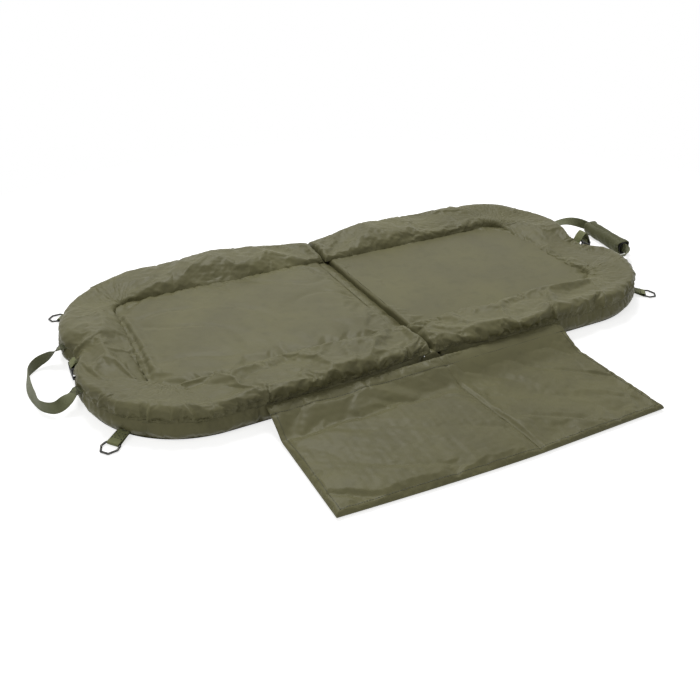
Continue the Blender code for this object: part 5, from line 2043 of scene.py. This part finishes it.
@dataclass
class HandWrap:
    """The padded wrap round the right strap, lined with hook and loop, and its leaf that opens."""

    plan: MatPlan
    sewn: Sewn
    finishes: Finishes
    webbing: Webbings
    length: float = 0.150
    yaw: float = math.radians(-7.7)
    middle_across: float = 0.018
    ease_out: float = 0.012
    padding: float = 0.0052
    lining: float = 0.0010
    seam_angle: float = math.radians(100)
    leaf_arc: float = math.radians(110)
    mouth_arc: float = math.radians(14)
    rows: int = 110
    steps: int = 96
    flare: float = 0.0034
    flare_over: float = 0.018
    lining_out: float = 0.004
    lining_flare: float = 0.0016
    lining_flare_over: float = 0.016
    pinched: float = 0.0014  # its thickness at its seams
    thinnest: float = 0.0012
    puff_over: float = 0.008
    end_share: float = 0.45
    end_over: float = 0.010
    end_fade: float = 0.004
    flare_waves: int = 3  # in a full turn round the wrap
    lining_steps: tuple[int, int] = (60, 40)
    lining_short: float = 0.05  # radians by which the leaf's lining is shorter than the leaf

    @property
    def hollow(self) -> float:
        """Radius of the space that the webbing turns in."""
        return math.hypot(self.webbing.width, self.webbing.thickness) / 2 + self.plan.clearance

    @property
    def radius(self) -> float:
        """Outer radius of the closed wrap."""
        return self.hollow + self.lining + self.plan.clearance + self.padding

    @property
    def centre(self) -> np.ndarray:
        """Its middle, from the middle of the end."""
        up = self.radius - self.webbing.high
        return np.array([self.webbing.right_reach, self.middle_across, up])

    def straight(self) -> list[np.ndarray]:
        """Places where the strap goes in and out of it, from back to front."""
        along = level_ways(self.yaw)[1]
        return [
            self.centre + along * (end * self.length / 2 + shift * self.ease_out)
            for end in (1, -1) for shift in (1, 0, -1)
        ]

    def shell(self, name: str, start: float, sweep: float, seed: int) -> Piece:
        """A padded part of the wrap.

        Args:
            name: the piece's name.
            start: the angle that it starts at, round its middle line.
            sweep: the angle that it covers.
            seed: seed of its creases.

        Returns:
            The object.
        """
        inside = self.radius - self.padding
        share = np.linspace(0, 1, self.steps)
        along = np.linspace(-0.5, 0.5, self.rows) * self.length
        s, y = np.meshgrid(share, along, indexing="xy")
        around = s * sweep * self.radius
        rest = (1 - s) * sweep * self.radius
        end = self.length / 2 - np.abs(y)
        at_end = self.end_share + (1 - self.end_share) * ease(end / self.end_over)
        pillow = ease(np.minimum(around, rest) / self.puff_over) * at_end
        tucks = gathers(
            seed, sweep * self.radius, spacing=0.011, depth=(0.0008, 0.0026), reach=(0.012, 0.040)
        )
        sink = total_sink(tucks, around, end)
        ripple = Waves(seed + 1, 0.012, 0.060, heading=0.4, spread=0.9, height=0.0016)(around, y)
        thick = self.pinched + (self.padding - self.pinched) * pillow
        thick = np.clip(thick + (ripple - sink) * ease(end / self.end_fade), self.thinnest, None)
        flare = self.flare * ease(1 - end / self.flare_over) * np.sin(self.flare_waves * s * sweep + seed)
        outer = inside + thick + np.maximum(flare, 0)
        inner = np.full_like(outer, inside) + np.maximum(flare, 0)
        section = self.section(outer, inner, start + sweep * s, y)
        return self.sewn.tube(name, section, self.finishes.wrap)

    def section(
        self, outer: np.ndarray, inner: np.ndarray, turn: np.ndarray, along: np.ndarray
    ) -> np.ndarray:
        """Closed sections of a wall, out over it and back inside it, no lower than the ground.

        Args:
            outer: the wall's outer radius at each point.
            inner: its inner radius.
            turn: the angle round the middle line.
            along: the place along that line.

        Returns:
            The points, one section in each row.
        """
        radii = np.concatenate([outer, inner[:, ::-1]], axis=1)
        turns = np.concatenate([turn, turn[:, ::-1]], axis=1)
        along = np.concatenate([along, along], axis=1)
        across, ahead = level_ways(self.yaw)
        local = self.centre + along[..., None] * ahead
        local = local + (radii * np.cos(turns))[..., None] * across
        local = local + (radii * np.sin(turns))[..., None] * UP
        points = self.webbing.at_end(Half.RIGHT, local)
        points[..., 2] = np.maximum(points[..., 2], self.plan.clearance)
        return points

    def patch(self, name: str, start: float, sweep: float, long: float) -> Piece:
        """A thin sleeve of hook and loop inside the padding.

        Args:
            name: the piece's name.
            start: the angle that it starts at, round its middle line.
            sweep: the angle that it covers.
            long: its length.

        Returns:
            The object.
        """
        outside = self.radius - self.padding - self.plan.clearance
        round_it, down_it = self.lining_steps
        turn = np.linspace(start, start + sweep, round_it)
        along = np.linspace(-0.5, 0.5, down_it) * long
        past = np.abs(along) - self.length / 2 + self.lining_flare_over
        flare = self.lining_flare * ease(past / self.lining_flare_over)
        t, y = np.meshgrid(turn, along, indexing="xy")
        outer = outside + flare[:, None] * np.maximum(np.sin(self.flare_waves * (t - start) + 1), 0)
        section = self.section(outer, outer - self.lining, t, y)
        return self.sewn.tube(name, section, self.finishes.hook)

    def build(self) -> None:
        """Makes the cover, the leaf and their linings."""
        gap = self.plan.clearance / self.radius
        start = self.seam_angle + gap
        sweep = 2 * math.pi - self.leaf_arc - self.mouth_arc - gap
        handle = body_of_joint("right_handle_swing")
        leaf_body = body_of_joint("wrap_open")
        cover = self.shell("hand_wrap_cover", start, sweep, 131)
        leaf_start = self.seam_angle - self.leaf_arc
        leaf = self.shell("hand_wrap_leaf", leaf_start, self.leaf_arc, 137)
        long = self.length + 2 * self.lining_out
        sleeve = self.patch("hand_wrap_lining", start, sweep, long)
        short = self.leaf_arc - self.lining_short
        hooks = self.patch("hand_wrap_leaf_lining", leaf_start, short, long)
        for piece, body, slot in (
            (cover, handle, "strap_webbing"), (leaf, leaf_body, "strap_webbing"),
            (sleeve, handle, "hook_and_loop"), (hooks, leaf_body, "hook_and_loop"),
        ):
            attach(piece, body)
        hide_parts("wrap_cover")
        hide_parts("wrap_leaf")
        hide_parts("wrap_lining")


def dress_kept_nodes(finishes: Finishes) -> None:
    """Gives every solid that stays its finish.

    Args:
        finishes: the mat's finishes.
    """
    by_slot = {
        "mat_cloth": finishes.cloth, "base_cloth": finishes.base, "webbing": finishes.tab,
        "strap_webbing": finishes.strap, "foam": finishes.foam, "hook_and_loop": finishes.hook,
        "black_metal": finishes.steel, "black_plastic": finishes.acetal,
    }
    slots = {row["node"]: row["material_slot"] for row in frame["record"]["subparts"]}
    for name, node in frame["nodes"].items():
        node.data.materials.clear()
        node.data.materials.append(by_slot[slots[name]])


def main() -> None:
    """Builds the looks of the mat."""
    logging.basicConfig(level=logging.INFO, format="%(name)s: %(message)s")
    clear_defaults()
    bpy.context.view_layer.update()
    plan = MatPlan.from_frame()
    sewn = Sewn(plan)
    finishes = Finishes()
    dress_kept_nodes(finishes)
    strip_low, strip_high = (corner.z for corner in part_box("fold_strip"))
    levels = {
        Half.LEFT: strip_high + LEFT_EDGE_ABOVE_STRIP, Half.RIGHT: strip_low + RIGHT_EDGE_ABOVE_STRIP,
    }
    seams = Seams(sewn, finishes.thread)
    for half in Half:
        given = (plan, sewn, half, finishes)
        BedPanel(*given, levels[half]).build()
        SideBand(*given).build()
        PaddedRim(*given).build()
        LowerBody(*given).build()
        CoverFlap(*given, seams).build()
    FoldStrip(plan, sewn, finishes.cloth, levels[Half.LEFT], levels[Half.RIGHT]).build()
    webbings = Webbings(plan, sewn, finishes, seams)
    wrap = HandWrap(plan, sewn, finishes, webbings)
    webbings.build(wrap)
    wrap.build()
    seams.build()
    Studio(plan.origin).build()


if __name__ == "__main__":
    main()
